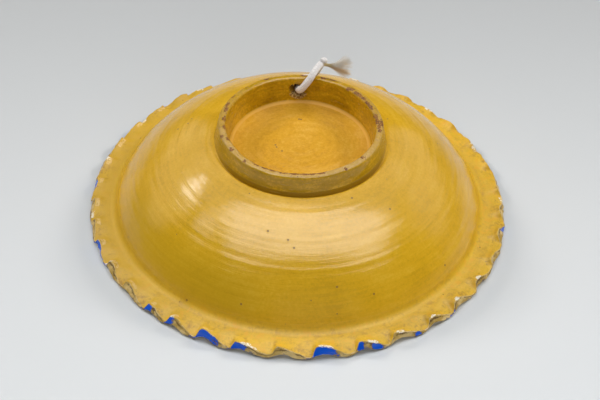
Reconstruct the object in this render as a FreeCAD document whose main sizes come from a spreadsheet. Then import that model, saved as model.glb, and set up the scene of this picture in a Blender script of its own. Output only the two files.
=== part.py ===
import FreeCAD, Part
import Sketcher
import math
import os

# Wheel-thrown serving dish, modelled as it lies face down: the rim rests on z = 0, the foot ring points up.
# Lengths are millimetres, angles degrees. The dish's axis is Z. The foot ring is pierced on its +Y side.

DRIVING_SIZES = {
    # bowl
    "rim_radius": 160.0,
    "flange_width": 19.8,
    "flange_height": 6.9,
    "dome_radius": 110.0,
    "crease_radius": 63.4,
    "crease_height": 65.5,
    "wall_thickness": 8.5,
    "floor_thickness": 8.5,
    "throat_round": 6.0,
    "lip_round": 3.5,
    "well_round": 30.0,
    # crimped edge
    "crimp_count": 38,
    "crimp_phase": -1.5,
    "crimp_reach": 11.0,
    "crest_height": 10.0,
    "crest_inset": 3.0,
    "press_clearance": 2.6,
    "tongue_height": 3.5,
    "tongue_share": 0.82,
    "arch_radius": 15.0,
    "arch_height": 2.8,
    "arch_tilt": 14.0,
    # foot ring
    "foot_rise": 13.6,
    "foot_outer_radius": 60.8,
    "foot_inner_radius": 54.8,
    "foot_flare_radius": 40.0,
    "recess_radius": 52.3,
    "seat_drop": 7.0,
    "foot_round": 1.6,
    "hole_radius": 3.4,
    "hole_lift": 0.1,
    # cord
    "cord_diameter": 5.4,
    "knot_width": 7.2,
    "wrap_diameter": 2.7,
    "wrap_spread": 3.0,
    "neck_diameter": 3.6,
    "neck_length": 9.0,
    "tuft_length": 15.0,
    "upper_tuft_width": 5.0,
    "lower_tuft_width": 7.0,
}

# The cord's route: from the knot over the foot ring's rim, down inside it, out through the hole and up.
# Each point is x, y and the height above the hole's axis.
CORD_ROUTE = [
    (17.8, 62.5, 17.4),
    (14.6, 58.6, 17.1),
    (10.0, 50.8, 13.8),
    (2.7, 48.9, 3.4),
    (0.0, 53.0, 0.0),
    (0.0, 65.6, 0.0),
    (4.2, 69.8, 0.3),
    (12.8, 70.3, 2.6),
    (18.5, 67.1, 15.0),
]
KNOT_CENTRE = (20.2, 65.8, 18.2)
KNOT_DIRECTION = (0.74, 0.45, -0.50)
NECK_DIRECTION = (0.83, -0.18, -0.53)
UPPER_TUFT_DIRECTION = (0.74, -0.17, 0.65)
LOWER_TUFT_DIRECTION = (0.845, -0.06, -0.53)

RUN_SHARE = 0.45
FULL_TURN = 360
MATCH = 0.01
AXIS_X = FreeCAD.Vector(1, 0, 0)
AXIS_Y = FreeCAD.Vector(0, 1, 0)
AXIS_Z = FreeCAD.Vector(0, 0, 1)

document = FreeCAD.newDocument("serving_dish")
sheet = document.addObject("Spreadsheet::Sheet", "sizes")
for row, (name, value) in enumerate(DRIVING_SIZES.items(), start=1):
    sheet.set(f"A{row}", name)
    sheet.set(f"B{row}", str(value))
    sheet.setAlias(f"B{row}", name)
document.recompute()


class Size:
    """A number together with the sheet formula that it comes from."""

    def __init__(self, number, formula):
        self.number = number
        self.formula = formula

    def __add__(self, other):
        return Size(self.number + other.number, f"({self.formula} + {other.formula})")

    def __sub__(self, other):
        return Size(self.number - other.number, f"({self.formula} - {other.formula})")


def size(name):
    return Size(float(sheet.get(name)), f"sizes.{name}")


def plain(number):
    return Size(number, str(number))


def bind(item, prop, value):
    item.setExpression(prop, value.formula)


def turned_about(axis):
    """A placement whose turn about that axis is then bound to the sheet."""
    return FreeCAD.Placement(FreeCAD.Vector(), FreeCAD.Rotation(axis, 1))


def origin_plane(body, role):
    return next(plane for plane in body.Origin.OriginFeatures if plane.Role == role)


def new_body(label):
    body = document.addObject("PartDesign::Body", label)
    body.Label = label
    return body


def new_sketch(body, name, role):
    sketch = body.newObject("Sketcher::SketchObject", name)
    sketch.AttachmentSupport = [(origin_plane(body, role), "")]
    sketch.MapMode = "FlatFace"
    return sketch


# Places on a line or arc, and the sketch's own axes, by the numbers that constraints use.
START, END, CENTRE = range(1, 4)
ON_GROUND, ON_AXIS = range(-1, -3, -1)
ORIGIN = (ON_GROUND, START)


def tie(sketch, kind, geometry, place, value):
    """Hold one end of a line or arc at a distance from the sketch's origin that the sheet gives."""
    index = sketch.addConstraint(Sketcher.Constraint(kind, *ORIGIN, geometry, place, value.number))
    sketch.setExpression(f"Constraints[{index}]", value.formula)


def tie_point(sketch, geometry, place, across, up):
    tie(sketch, "DistanceX", geometry, place, across)
    tie(sketch, "DistanceY", geometry, place, up)


def tie_radius(sketch, geometry, value):
    index = sketch.addConstraint(Sketcher.Constraint("Radius", geometry, value.number))
    sketch.setExpression(f"Constraints[{index}]", value.formula)


def join(sketch, first, first_place, second, second_place):
    sketch.addConstraint(Sketcher.Constraint("Coincident", first, first_place, second, second_place))


def line(start, end):
    return Part.LineSegment(FreeCAD.Vector(*start, 0), FreeCAD.Vector(*end, 0))


def arc_about(centre, radius, first, last):
    """An arc from first to last, anticlockwise about centre."""
    angles = [math.atan2(point[1] - centre[1], point[0] - centre[0]) for point in (first, last)]
    circle = Part.Circle(FreeCAD.Vector(*centre, 0), AXIS_Z, radius)
    return Part.ArcOfCircle(circle, *angles)


def centre_left_of(first, last, radius):
    """The centre of the arc of that radius that turns left from first to last."""
    half = math.dist(first, last) / 2
    middle = [(a + b) / 2 for a, b in zip(first, last)]
    along = [(b - a) / (2 * half) for a, b in zip(first, last)]
    reach = math.sqrt(radius**2 - half**2)
    return (middle[0] - along[1] * reach, middle[1] + along[0] * reach)


def revolve(body, sketch, name):
    turned = body.newObject("PartDesign::Revolution", name)
    turned.Profile = sketch
    turned.ReferenceAxis = (sketch, ["V_Axis"])
    turned.Angle = FULL_TURN
    return turned


def ring_edge(feature, radius, height):
    """The name of the feature's circular edge of that radius at that height."""
    for index, edge in enumerate(feature.Shape.Edges, start=1):
        curve = edge.Curve
        if not isinstance(curve, Part.Circle):
            continue
        if abs(curve.Radius - radius) < MATCH and abs(curve.Center.z - height) < MATCH:
            return f"Edge{index}"
    raise ValueError(f"no edge of radius {radius} at height {height}")


def round_edges(body, base, name, edges, value):
    rounded = body.newObject("PartDesign::Fillet", name)
    rounded.Base = (base, edges)
    bind(rounded, "Radius", value)
    document.recompute()
    return rounded


# Bowl: one thrown profile, turned about the axis.

bowl = new_body("bowl")
rim = size("rim_radius")
groove = rim - size("flange_width")
flange = size("flange_height")
crease_radius = size("crease_radius")
crease_height = size("crease_height")
recess_radius = size("recess_radius")
recess_floor = crease_height - size("seat_drop")
dome_radius = size("dome_radius")
crest_height = size("crest_height")
edge_radius = rim - size("crest_inset")
ramp_radius = rim - size("crimp_reach")
tongue_height = size("tongue_height")
well_radius = dome_radius - size("wall_thickness")
well_floor = recess_floor - size("floor_thickness")

groove_point = (groove.number, flange.number)
crease_point = (crease_radius.number, crease_height.number)
dome_centre = centre_left_of(groove_point, crease_point, dome_radius.number)
well_mouth = dome_centre[0] + math.sqrt(well_radius.number**2 - dome_centre[1] ** 2)
well_rise = well_floor.number - dome_centre[1]
well_shoulder = dome_centre[0] + math.sqrt(well_radius.number**2 - well_rise**2)

corners = [
    (0.0, recess_floor.number),
    (recess_radius.number, recess_floor.number),
    crease_point,
    groove_point,
    (ramp_radius.number, flange.number),
    (edge_radius.number, crest_height.number),
    (rim.number, tongue_height.number),
    (rim.number, 0.0),
    (well_mouth, 0.0),
    (well_shoulder, well_floor.number),
    (0.0, well_floor.number),
]
RECESS, SEAT, DOME, FLANGE, RAMP, CREST, EDGE, UNDERSIDE, WELL, FLOOR, CORE = range(len(corners))
thrown = new_sketch(bowl, "thrown_profile", "XZ_Plane")
for index, start in enumerate(corners):
    end = corners[(index + 1) % len(corners)]
    if index == DOME:
        thrown.addGeometry(arc_about(dome_centre, dome_radius.number, end, start))
    elif index == WELL:
        thrown.addGeometry(arc_about(dome_centre, well_radius.number, start, end))
    else:
        thrown.addGeometry(line(start, end))
for index in range(len(corners)):
    following = (index + 1) % len(corners)
    last_place = START if index == DOME else END
    first_place = END if following == DOME else START
    join(thrown, index, last_place, following, first_place)
thrown.addConstraint(Sketcher.Constraint("PointOnObject", RECESS, START, ON_AXIS))
thrown.addConstraint(Sketcher.Constraint("PointOnObject", CORE, START, ON_AXIS))
thrown.addConstraint(Sketcher.Constraint("PointOnObject", UNDERSIDE, START, ON_GROUND))
thrown.addConstraint(Sketcher.Constraint("PointOnObject", UNDERSIDE, END, ON_GROUND))
tie(thrown, "DistanceY", RECESS, START, recess_floor)
tie_point(thrown, SEAT, START, recess_radius, recess_floor)
tie_point(thrown, SEAT, END, crease_radius, crease_height)
tie_point(thrown, FLANGE, START, groove, flange)
tie_point(thrown, RAMP, START, ramp_radius, flange)
tie_point(thrown, CREST, START, edge_radius, crest_height)
tie_point(thrown, EDGE, START, rim, tongue_height)
tie(thrown, "DistanceX", UNDERSIDE, START, rim)
tie_radius(thrown, DOME, dome_radius)
join(thrown, DOME, CENTRE, WELL, CENTRE)
tie_radius(thrown, WELL, well_radius)
tie(thrown, "DistanceY", FLOOR, START, well_floor)
tie(thrown, "DistanceY", FLOOR, END, well_floor)
thrown_shell = revolve(bowl, thrown, "thrown_shell")
document.recompute()

throat = ring_edge(thrown_shell, groove.number, flange.number)
throat_rounded = round_edges(bowl, thrown_shell, "throat", [throat], size("throat_round"))
lip = ring_edge(throat_rounded, well_mouth, 0.0)
lip_rounded = round_edges(bowl, throat_rounded, "lip", [lip], size("lip_round"))
shoulder = ring_edge(lip_rounded, well_shoulder, well_floor.number)
well_rounded = round_edges(bowl, lip_rounded, "well", [shoulder], size("well_round"))

# Crimped edge: each finger press lowers the edge into a tongue and leaves a crest that is steep on one side.
# A press is a wedge that runs inwards and up to the flange. An arch lifts the underside at each crest.

press_tilt = "atan((sizes.flange_height - sizes.tongue_height) / sizes.crimp_reach)"
press_width = Size(
    rim.number * math.sin(math.radians(360 / size("crimp_count").number)),
    "sizes.rim_radius * sin(360 deg / sizes.crimp_count)",
)
press_low = Size(
    press_width.number * size("tongue_share").number,
    f"{press_width.formula} * sizes.tongue_share",
)
press_high = crest_height - tongue_height + size("press_clearance")
nowhere = plain(0.0)

press_outline = new_sketch(bowl, "press_outline", "YZ_Plane")
press_outline.AttachmentOffset = turned_about(AXIS_X)
press_outline.setExpression(".AttachmentOffset.Rotation.Angle", press_tilt)
press_outline.setExpression(".AttachmentOffset.Base.y", tongue_height.formula)
press_outline.setExpression(".AttachmentOffset.Base.z", rim.formula)
press_corners = [(nowhere, press_high), (press_low, nowhere), (press_width, press_high)]
for index, (across, up) in enumerate(press_corners):
    after = press_corners[(index + 1) % len(press_corners)]
    press_outline.addGeometry(line((across.number, up.number), (after[0].number, after[1].number)))
for index, (across, up) in enumerate(press_corners):
    join(press_outline, index, END, (index + 1) % len(press_corners), START)
    tie_point(press_outline, index, START, across, up)
press = bowl.newObject("PartDesign::Pocket", "press")
press.Profile = press_outline
press.setExpression("Length", "4 * sizes.crimp_reach")
press.Midplane = True
document.recompute()
if press.Shape.Volume >= well_rounded.Shape.Volume:
    raise ValueError("the finger press cuts nothing")


def round_the_rim(feature, name):
    """Repeat a cut round the dish's axis, once for each crimp."""
    pattern = bowl.newObject("PartDesign::PolarPattern", name)
    pattern.Originals = [feature]
    pattern.Axis = (origin_plane(bowl, "Z_Axis"), [""])
    pattern.Angle = FULL_TURN
    pattern.setExpression("Occurrences", "sizes.crimp_count")
    bowl.Tip = pattern
    document.recompute()


round_the_rim(press, "presses")

arch = bowl.newObject("PartDesign::SubtractiveCylinder", "arch")
bind(arch, "Radius", size("arch_radius"))
arch.setExpression("Height", "2 * sizes.crimp_reach")
arch.Placement = turned_about(AXIS_Y)
arch.setExpression(".Placement.Rotation.Angle", "90 - sizes.arch_tilt")
arch.setExpression(".Placement.Base.x", ramp_radius.formula)
arch.setExpression(
    ".Placement.Base.z",
    "sizes.arch_height - sizes.arch_radius / cos(sizes.arch_tilt * 1 deg)"
    " - sizes.crimp_reach * tan(sizes.arch_tilt * 1 deg)",
)
document.recompute()

round_the_rim(arch, "arches")
bowl.Placement = turned_about(AXIS_Z)
bowl.setExpression(".Placement.Rotation.Angle", "sizes.crimp_phase")
document.recompute()

# Foot ring: flared on the outside, seated on the bowl's sloping seat, pierced through its far wall.

foot_ring = new_body("foot_ring")
foot_height = crease_height + size("foot_rise")
foot_outer = size("foot_outer_radius")
foot_inner = size("foot_inner_radius")
flare_radius = size("foot_flare_radius")
foot_corners = [
    (recess_radius, recess_floor),
    (crease_radius, crease_height),
    (foot_outer, foot_height),
    (foot_inner, foot_height),
]
FLARE = 1
foot_points = [(across.number, up.number) for across, up in foot_corners]
flare_centre = centre_left_of(foot_points[2], foot_points[1], flare_radius.number)
turned_ring = new_sketch(foot_ring, "foot_profile", "XZ_Plane")
for index, start in enumerate(foot_points):
    end = foot_points[(index + 1) % len(foot_points)]
    if index == FLARE:
        turned_ring.addGeometry(arc_about(flare_centre, flare_radius.number, end, start))
    else:
        turned_ring.addGeometry(line(start, end))
for index, (across, up) in enumerate(foot_corners):
    following = (index + 1) % len(foot_corners)
    last_place = START if index == FLARE else END
    first_place = END if following == FLARE else START
    join(turned_ring, index, last_place, following, first_place)
    tie_point(turned_ring, index, END if index == FLARE else START, across, up)
tie_radius(turned_ring, FLARE, flare_radius)
ring_blank = revolve(foot_ring, turned_ring, "ring_blank")
document.recompute()

foot_edges = [ring_edge(ring_blank, edge.number, foot_height.number) for edge in (foot_outer, foot_inner)]
ring_rounded = round_edges(foot_ring, ring_blank, "foot_face_rounds", foot_edges, size("foot_round"))

hole_sketch = new_sketch(foot_ring, "hole_circle", "XZ_Plane")
hole_radius = size("hole_radius")
hole_height = crease_height + hole_radius + size("hole_lift")
hole_centre = FreeCAD.Vector(0, hole_height.number, 0)
hole_sketch.addGeometry(Part.Circle(hole_centre, AXIS_Z, hole_radius.number))
hole_sketch.addConstraint(Sketcher.Constraint("PointOnObject", 0, CENTRE, ON_AXIS))
tie(hole_sketch, "DistanceY", 0, CENTRE, hole_height)
tie_radius(hole_sketch, 0, hole_radius)
hole = foot_ring.newObject("PartDesign::Pocket", "cord_hole")
hole.Profile = hole_sketch
bind(hole, "Length", crease_radius)
foot_ring.Tip = hole
document.recompute()
if hole.Shape.Volume >= ring_rounded.Shape.Volume:
    raise ValueError("the cord hole cuts nothing")

# Hanging cord: straight runs joined by tangent arcs, each as large as its two runs allow.

cord_diameter = size("cord_diameter").number
hole_level = FreeCAD.Vector(0, 0, hole_height.number)


def at_hole_level(point):
    return FreeCAD.Vector(*point) + hole_level


def rounded_route(points):
    """The edges along the route, and the radius of the arc at each inner point."""
    edges = []
    radii = []
    start = points[0]
    for before, corner, after in zip(points, points[1:], points[2:]):
        incoming = corner - before
        outgoing = after - corner
        half_turn = incoming.getAngle(outgoing) / 2
        setback = RUN_SHARE * min(incoming.Length, outgoing.Length)
        radius = setback / math.tan(half_turn)
        incoming.normalize()
        outgoing.normalize()
        arc_start = corner - incoming * setback
        arc_end = corner + outgoing * setback
        inward = outgoing - incoming
        inward.normalize()
        arc_middle = corner + inward * radius * (1 / math.cos(half_turn) - 1)
        edges.append(Part.LineSegment(start, arc_start).toShape())
        edges.append(Part.Arc(arc_start, arc_middle, arc_end).toShape())
        radii.append(radius)
        start = arc_end
    edges.append(Part.LineSegment(start, points[-1]).toShape())
    return edges, radii


def tube(points, diameter):
    edges, radii = rounded_route(points)
    path = Part.Wire(edges)
    direction = points[1] - points[0]
    section = Part.Wire(Part.makeCircle(diameter / 2, points[0], direction))
    solid = path.makePipeShell([section], True, False)
    expected = math.pi * diameter**2 / 4 * path.Length
    print("cord length", round(path.Length, 2), "radii", [round(radius, 1) for radius in radii])
    print("cord volume over section times length", round(solid.Volume / expected, 5))
    return solid


hanging_cord = document.addObject("Part::Feature", "hanging_cord")
hanging_cord.Shape = tube([at_hole_level(point) for point in CORD_ROUTE], cord_diameter)
hanging_cord.Placement = FreeCAD.Placement()
hanging_cord.Label = "hanging_cord"

# Frayed end: a pinched neck out of the knot, then two tufts.


def facing(direction):
    return FreeCAD.Rotation(AXIS_Z, FreeCAD.Vector(*direction))


def along(start, direction, distance):
    return start + FreeCAD.Vector(*direction).normalize() * distance


knot_centre = at_hole_level(KNOT_CENTRE)
neck_end = along(knot_centre, NECK_DIRECTION, size("neck_length").number)
neck = document.addObject("Part::Cylinder", "neck")
neck.setExpression("Radius", "sizes.neck_diameter / 2")
bind(neck, "Height", size("neck_length"))
neck.Placement = FreeCAD.Placement(knot_centre, facing(NECK_DIRECTION))


def tuft(name, direction, width_name):
    cone = document.addObject("Part::Cone", name)
    cone.setExpression("Radius1", "sizes.neck_diameter / 2")
    cone.setExpression("Radius2", f"sizes.{width_name} / 2")
    bind(cone, "Height", size("tuft_length"))
    cone.Placement = FreeCAD.Placement(neck_end, facing(direction))
    return cone


frayed_end = document.addObject("Part::MultiFuse", "frayed_end")
frayed_end.Shapes = [
    neck,
    tuft("upper_tuft", UPPER_TUFT_DIRECTION, "upper_tuft_width"),
    tuft("lower_tuft", LOWER_TUFT_DIRECTION, "lower_tuft_width"),
]

# Knot: a lump with two wraps round it, hollowed where the cord's two ends and the neck go in.

lump = document.addObject("Part::Sphere", "knot_lump")
lump.setExpression("Radius", "sizes.knot_width / 2")
lump.Placement = FreeCAD.Placement(knot_centre, facing(KNOT_DIRECTION))


def wrap(name, side):
    """A turn of cord round the lump, on one side of its middle."""
    ring = document.addObject("Part::Torus", name)
    ring.setExpression("Radius1", "sizes.knot_width / 2 - sizes.wrap_diameter / 4")
    ring.setExpression("Radius2", "sizes.wrap_diameter / 2")
    centre = along(knot_centre, KNOT_DIRECTION, side * size("wrap_spread").number / 2)
    ring.Placement = FreeCAD.Placement(centre, facing(KNOT_DIRECTION))
    return ring


tied = document.addObject("Part::MultiFuse", "tied_lump")
tied.Shapes = [lump, wrap("near_wrap", -1), wrap("far_wrap", 1)]
without_cord = document.addObject("Part::Cut", "knot_without_cord")
without_cord.Base = tied
without_cord.Tool = hanging_cord
cord_knot = document.addObject("Part::Cut", "cord_knot")
cord_knot.Base = without_cord
cord_knot.Tool = frayed_end
document.recompute()

for item in document.Objects:
    if "Invalid" in item.State or "Error" in item.State:
        raise ValueError(f"{item.Name} failed: {item.getStatusString()}")
os.makedirs("parts", exist_ok=True)
for item in (bowl, foot_ring, hanging_cord, cord_knot, frayed_end):
    shape = item.Shape
    if shape.isNull() or not shape.isValid():
        raise ValueError(f"{item.Label} has no valid shape")
    counts = f"{len(shape.Solids)} solids, {len(shape.Faces)} faces"
    print(item.Label, counts, "volume", round(shape.Volume, 1))
    shape.exportStep(f"parts/{item.Label}.step")
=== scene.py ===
"""A glazed serving dish, face down, with a crimped edge, a foot ring and a knotted cotton cord."""
import math

import bpy
import numpy as np
from mathutils import Matrix, Vector


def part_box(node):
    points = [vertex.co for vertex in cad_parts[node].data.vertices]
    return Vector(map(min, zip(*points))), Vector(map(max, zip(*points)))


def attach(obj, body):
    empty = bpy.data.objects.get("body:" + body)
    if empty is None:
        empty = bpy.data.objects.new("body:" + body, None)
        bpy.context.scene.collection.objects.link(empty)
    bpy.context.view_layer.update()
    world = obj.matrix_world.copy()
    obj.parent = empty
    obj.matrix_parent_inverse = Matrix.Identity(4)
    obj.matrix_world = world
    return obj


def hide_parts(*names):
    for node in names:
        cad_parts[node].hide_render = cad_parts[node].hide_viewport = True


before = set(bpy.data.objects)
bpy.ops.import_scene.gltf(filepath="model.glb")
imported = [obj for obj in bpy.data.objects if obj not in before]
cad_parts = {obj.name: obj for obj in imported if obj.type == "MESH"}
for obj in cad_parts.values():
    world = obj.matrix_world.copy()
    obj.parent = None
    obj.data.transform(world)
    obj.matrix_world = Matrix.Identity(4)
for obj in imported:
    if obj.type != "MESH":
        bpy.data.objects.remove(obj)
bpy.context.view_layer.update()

MM = 0.001
CIRCLE = 360.0
FULL_TURN = 2 * math.pi
TINY = 1e-9
PHOTO_TURN = math.radians(-3.9)  # from the photo's axes to the dish's

# Noise made of waves: how many, and how their lengths vary
WAVE_COUNT = 14
WAVE_SPREAD = (0.6, 1.7)

# Dish sizes in millimetres, and angles of its arcs in degrees
MIDDLE_RADIUS = 2.0
RIM_RADIUS = 159.8
FLANGE_HEIGHT = 6.9
FLANGE_END = 145.0
FLAT_REACH = 149.0
DOME_CENTRE = (41.826, -42.320)
DOME_RADIUS = 110.0
DOME_ANGLES = (78.69, 28.43)
WELL_RADIUS = 101.5
WELL_ANGLES = (25.87, 60.65)
THROAT_CENTRE = (143.84, 12.9)
THROAT_RADIUS = 6.0
THROAT_ANGLES = (208.43, 270.0)
LIP_CENTRE = (136.3, 3.5)
LIP_RADIUS = 3.5
LIP_ANGLES = (270.0, 205.87)
WELL_TURN_CENTRE = (76.87, 20.0)
WELL_TURN_RADIUS = 30.0
WELL_TURN_ANGLES = (60.65, 90.0)
WELL_FLOOR = 50.0
RECESS_FLOOR = 58.5
RECESS_RADIUS = 52.3
RECESS_BORDER = 53.3
CREASE = (63.4, 65.5)

# Foot ring sizes in millimetres, and angles of its arcs in degrees
FOOT_TOP = 79.1
FOOT_OUTER = 60.8
FOOT_INNER = 54.8
FOOT_ROUND = 2.2
OUTER_TURN_ANGLES = (0.0, 90.0)
INNER_TURN_ANGLES = (90.0, 180.0)
WALL_FOOT = (65.0, 63.6)
WALL_BEND = (62.7, 66.6)
GROOVE_DEPTH = 1.1
HOLE_HEIGHT = 69.0
INNER_FOOT = 52.6
CORNER_ROUND = 3.0
CORNER_ANGLES = (-5.0, -80.0)
CORNER_FOOT = 50.1
SEAT_INNER = (49.0, 58.0)
SEAT_OUTER = (63.9, 63.5)

# Angles round the rim, in degrees from the front towards the right, where each crimp rises
CRIMP_STARTS = (
    -72.9, -63.9, -54.9, -44.9, -37.4, -28.4, -18.9, -8.4, 1.6, 12.6, 22.1, 33.1, 42.1,
    52.1, 62.1, 71.6, 81.1, 91.1, 101.6, 112.1, 122.1, 131.6, 140.6, 149.1, 158.1, 167.1,
    176.6, 186.1, 195.8, 205.6, 214.6, 223.6, 233.6, 243.1, 252.1, 261.1, 270.1, 278.6,
)

# Edge sizes in millimetres, and how sharply its relief bends
CREST_HEIGHT = 9.4
TONGUE_HEIGHT = 3.5
CREST_INSET = 3.0
ARCH_HEIGHT = 2.9
TONGUE_GAP = 0.9
TOP_INSET = 0.9
LOW_INSET = 0.7
ARCH_INSET = 1.1
TOP_ROUND = 1.1
LOW_ROUND = 0.9
TONGUE_BEND = 1.8
CREST_BEND = 0.9
ARCH_BEND = 1.5

# Patches on the edge: angle, half width in degrees and strength
BLUE_PATCHES = (
    (-70.6, 3.8, 1.0), (-64.9, 0.9, 0.8), (-44.6, 1.6, 0.9), (-37.1, 1.1, 0.9), (-26.6, 3.2, 1.0),
    (-17.6, 2.1, 0.9), (3.8, 2.9, 1.2), (13.4, 0.8, 0.8), (17.8, 1.4, 0.9), (29.2, 0.8, 0.8),
    (41.2, 1.0, 0.8), (78.0, 2.1, 0.8), (101.0, 2.2, 0.9), (124.0, 1.5, 0.8), (151.0, 2.6, 1.0),
    (176.0, 1.8, 0.9), (200.0, 2.4, 1.0), (221.0, 1.4, 0.8), (239.0, 2.6, 1.0), (264.0, 1.7, 0.9),
)
# White patches: white glaze on the crest tops, partly painted highlight
WHITE_PATCHES = (
    (-63.8, 1.0, 0.9), (-36.6, 0.7, 0.8), (-15.0, 2.0, 1.0), (4.5, 1.8, 1.0), (16.9, 1.3, 1.0),
    (24.4, 1.1, 0.9), (34.8, 0.8, 0.9), (44.0, 0.7, 0.8), (54.6, 1.0, 0.9), (89.0, 1.2, 0.9),
    (112.0, 1.0, 0.9), (133.0, 1.4, 1.0), (160.0, 1.2, 0.9), (188.0, 1.3, 0.9), (210.0, 1.0, 0.8),
    (232.0, 1.2, 1.0), (253.0, 1.1, 0.8), (276.0, 1.0, 0.9),
)

# Chips on the foot ring's face: angle, radius and half length in millimetres
CHIPS = (
    (135, 57.4, 3), (130, 56.8, 3), (126, 56.7, 3), (121, 56.9, 3), (116, 56.4, 3), (110, 56.4, 3),
    (98, 56.4, 3), (92, 56.4, 4), (86, 57.1, 3), (81, 57.9, 2), (90, 59.4, 4), (-123, 59.8, 2.5),
    (-113, 58.4, 2.5), (-107, 57.5, 3), (-96, 56.6, 3), (-86, 56.0, 3), (-76, 59.6, 1.6), (-72, 56.2, 2.2),
    (-60, 58.6, 2), (-36, 56.0, 3), (-29, 56.0, 3), (-23, 56.0, 3), (-15, 56.1, 4), (-7, 56.2, 4),
    (0, 56.1, 4), (6, 56.0, 3), (12, 56.2, 2.5), (-156, 59.2, 2.2), (-138, 60.2, 2.2), (160, 58.2, 3),
    (153, 59.2, 3), (138, 55.6, 2), (176, 58.8, 3), (47, 57.0, 1.2), (30, 58.6, 1.2), (-45, 59.0, 1.4),
)

# Dark specks in the dome's glaze: angle and radius
SPECKS = (
    (-104.9, 94.5), (-19.8, 132.4), (27.5, 72.7), (49.3, 133.7), (41.7, 91.3), (-16.3, 92.6),
    (-7.3, 96.5), (-4.7, 101.1), (9.8, 122.7), (21.3, 129.3), (89.6, 127.8), (-36.7, 138.5),
    (140.0, 110.0), (188.0, 96.0), (214.0, 128.0), (252.0, 88.0),
)

# Dark specks on the recess's floor: across and along, in millimetres
RECESS_SPECKS = ((-18.4, -0.2), (-17.6, -2.6), (-13.7, -7.2), (1.9, 29.9), (0.4, 30.3))

# Cord route in metres, as it lies in the hole and over the foot ring
CORD_ROUTE = (
    (0.0178, 0.0625, 0.0864), (0.0146, 0.0586, 0.0861), (0.0100, 0.0508, 0.0828),
    (0.0027, 0.0489, 0.0724), (0.0, 0.0530, 0.0690), (0.0, 0.0656, 0.0690),
    (0.0042, 0.0692, 0.0678), (0.0134, 0.0694, 0.0690), (0.0185, 0.0671, 0.0840),
)

# Cord, knot and frayed end in millimetres
CORD_DIAMETER = 5.4
KNOT_CENTRE = np.array((20.2, 65.8, 87.2))
KNOT_DIRECTION = np.array((0.74, 0.45, -0.50))
NECK_DIRECTION = np.array((0.83, -0.18, -0.53))
NECK_LENGTH = 9.0
NECK_ROOT = np.array((-0.8, -2.4, -1.6))
UPPER_TUFT = np.array((0.74, -0.17, 0.65))
LOWER_TUFT = np.array((0.80, -0.06, -0.60))


def smooth(value, low, high):
    """0 below low, 1 above high, and an even curve between."""
    share = np.clip((value - low) / (high - low), 0.0, 1.0)
    return share * share * (3.0 - 2.0 * share)


def band(value, rise, fall):
    """1 between two soft borders, and 0 beyond them."""
    return smooth(value, *rise) * (1.0 - smooth(value, *fall))


def facing(turn, side, fade):
    """1 where the dish faces an angle, in degrees, and 0 on its other side."""
    return smooth(np.cos(turn - math.radians(side)), *fade)


def waves(points, seed, wavelength):
    """Smooth noise of about unit size: plane waves in random directions."""
    draw = np.random.default_rng(seed)
    total = np.zeros(points.shape[:-1])
    for _ in range(WAVE_COUNT):
        direction = draw.normal(size=3)
        direction /= np.linalg.norm(direction)
        length = wavelength * draw.uniform(*WAVE_SPREAD)
        total += np.sin(points @ direction * (FULL_TURN / length) + draw.uniform(0, FULL_TURN))
    return total / math.sqrt(WAVE_COUNT / 2)


def ripple(points, layers):
    """A sum of noises, each given as its seed, wavelength and height."""
    return sum(height * waves(points, seed, wavelength) for seed, wavelength, height in layers)


def arc(centre, radius, start, end, count):
    """Points of a circle from one angle to another, in degrees."""
    turn = np.radians(np.linspace(start, end, count))
    return np.column_stack((centre[0] + radius * np.cos(turn), centre[1] + radius * np.sin(turn)))


def line(start, end, count):
    """Points of a straight run, without its first point."""
    return np.linspace(start, end, count + 1)[1:]


def spun(profile, turn):
    """Points of a stack of profiles, each turned about the axis from the front."""
    return np.stack((
        profile[..., 0] * np.sin(turn)[:, None],
        -profile[..., 0] * np.cos(turn)[:, None],
        profile[..., 1],
    ), axis=2)


def angle_gap(angles, centre):
    """Degrees from a place on the rim, the short way round."""
    return (angles - centre + CIRCLE / 2) % CIRCLE - CIRCLE / 2


def unit(vector):
    """A vector's direction."""
    return vector / np.linalg.norm(vector)


def make_mesh(name, points, faces):
    """A smooth-shaded object from points in millimetres."""
    mesh = bpy.data.meshes.new(name)
    mesh.from_pydata((np.asarray(points) * MM).tolist(), [], faces)
    mesh.polygons.foreach_set("use_smooth", [True] * len(mesh.polygons))
    mesh.update()
    made = bpy.data.objects.new(name, mesh)
    bpy.context.scene.collection.objects.link(made)
    return made


def points_of(obj):
    """A mesh's points in millimetres."""
    flat = np.empty(len(obj.data.vertices) * 3)
    obj.data.vertices.foreach_get("co", flat)
    return flat.reshape(-1, 3) / MM


def paint(obj, name, values):
    """Keeps a number for each point of a mesh, for its material."""
    layer = obj.data.attributes.new(name, "FLOAT", "POINT")
    layer.data.foreach_set("value", np.asarray(values, dtype=np.float32).ravel())


def grid_faces(columns, rows, closed_rows=False):
    """Quads of a grid whose columns go round; rows go round too when closed."""
    faces = []
    for column in range(columns):
        after = (column + 1) % columns
        for row in range(rows if closed_rows else rows - 1):
            above = (row + 1) % rows
            faces.append((
                column * rows + row,
                column * rows + above,
                after * rows + above,
                after * rows + row,
            ))
    return faces


def end_faces(columns, rows):
    """The two flat ends of a tube whose columns go round."""
    first = tuple(column * rows for column in range(columns))
    last = tuple(column * rows + rows - 1 for column in reversed(range(columns)))
    return [first, last]


def offset_along_normal(profile, amount):
    """Moves each profile of a stack of profiles along its own normal."""
    slope = np.gradient(profile, axis=1)
    slope /= np.maximum(np.linalg.norm(slope, axis=2, keepdims=True), TINY)
    normal = np.stack((-slope[..., 1], slope[..., 0]), axis=2)
    return profile + normal * amount[..., None]


# Bowl: columns and rows of its grid

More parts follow.
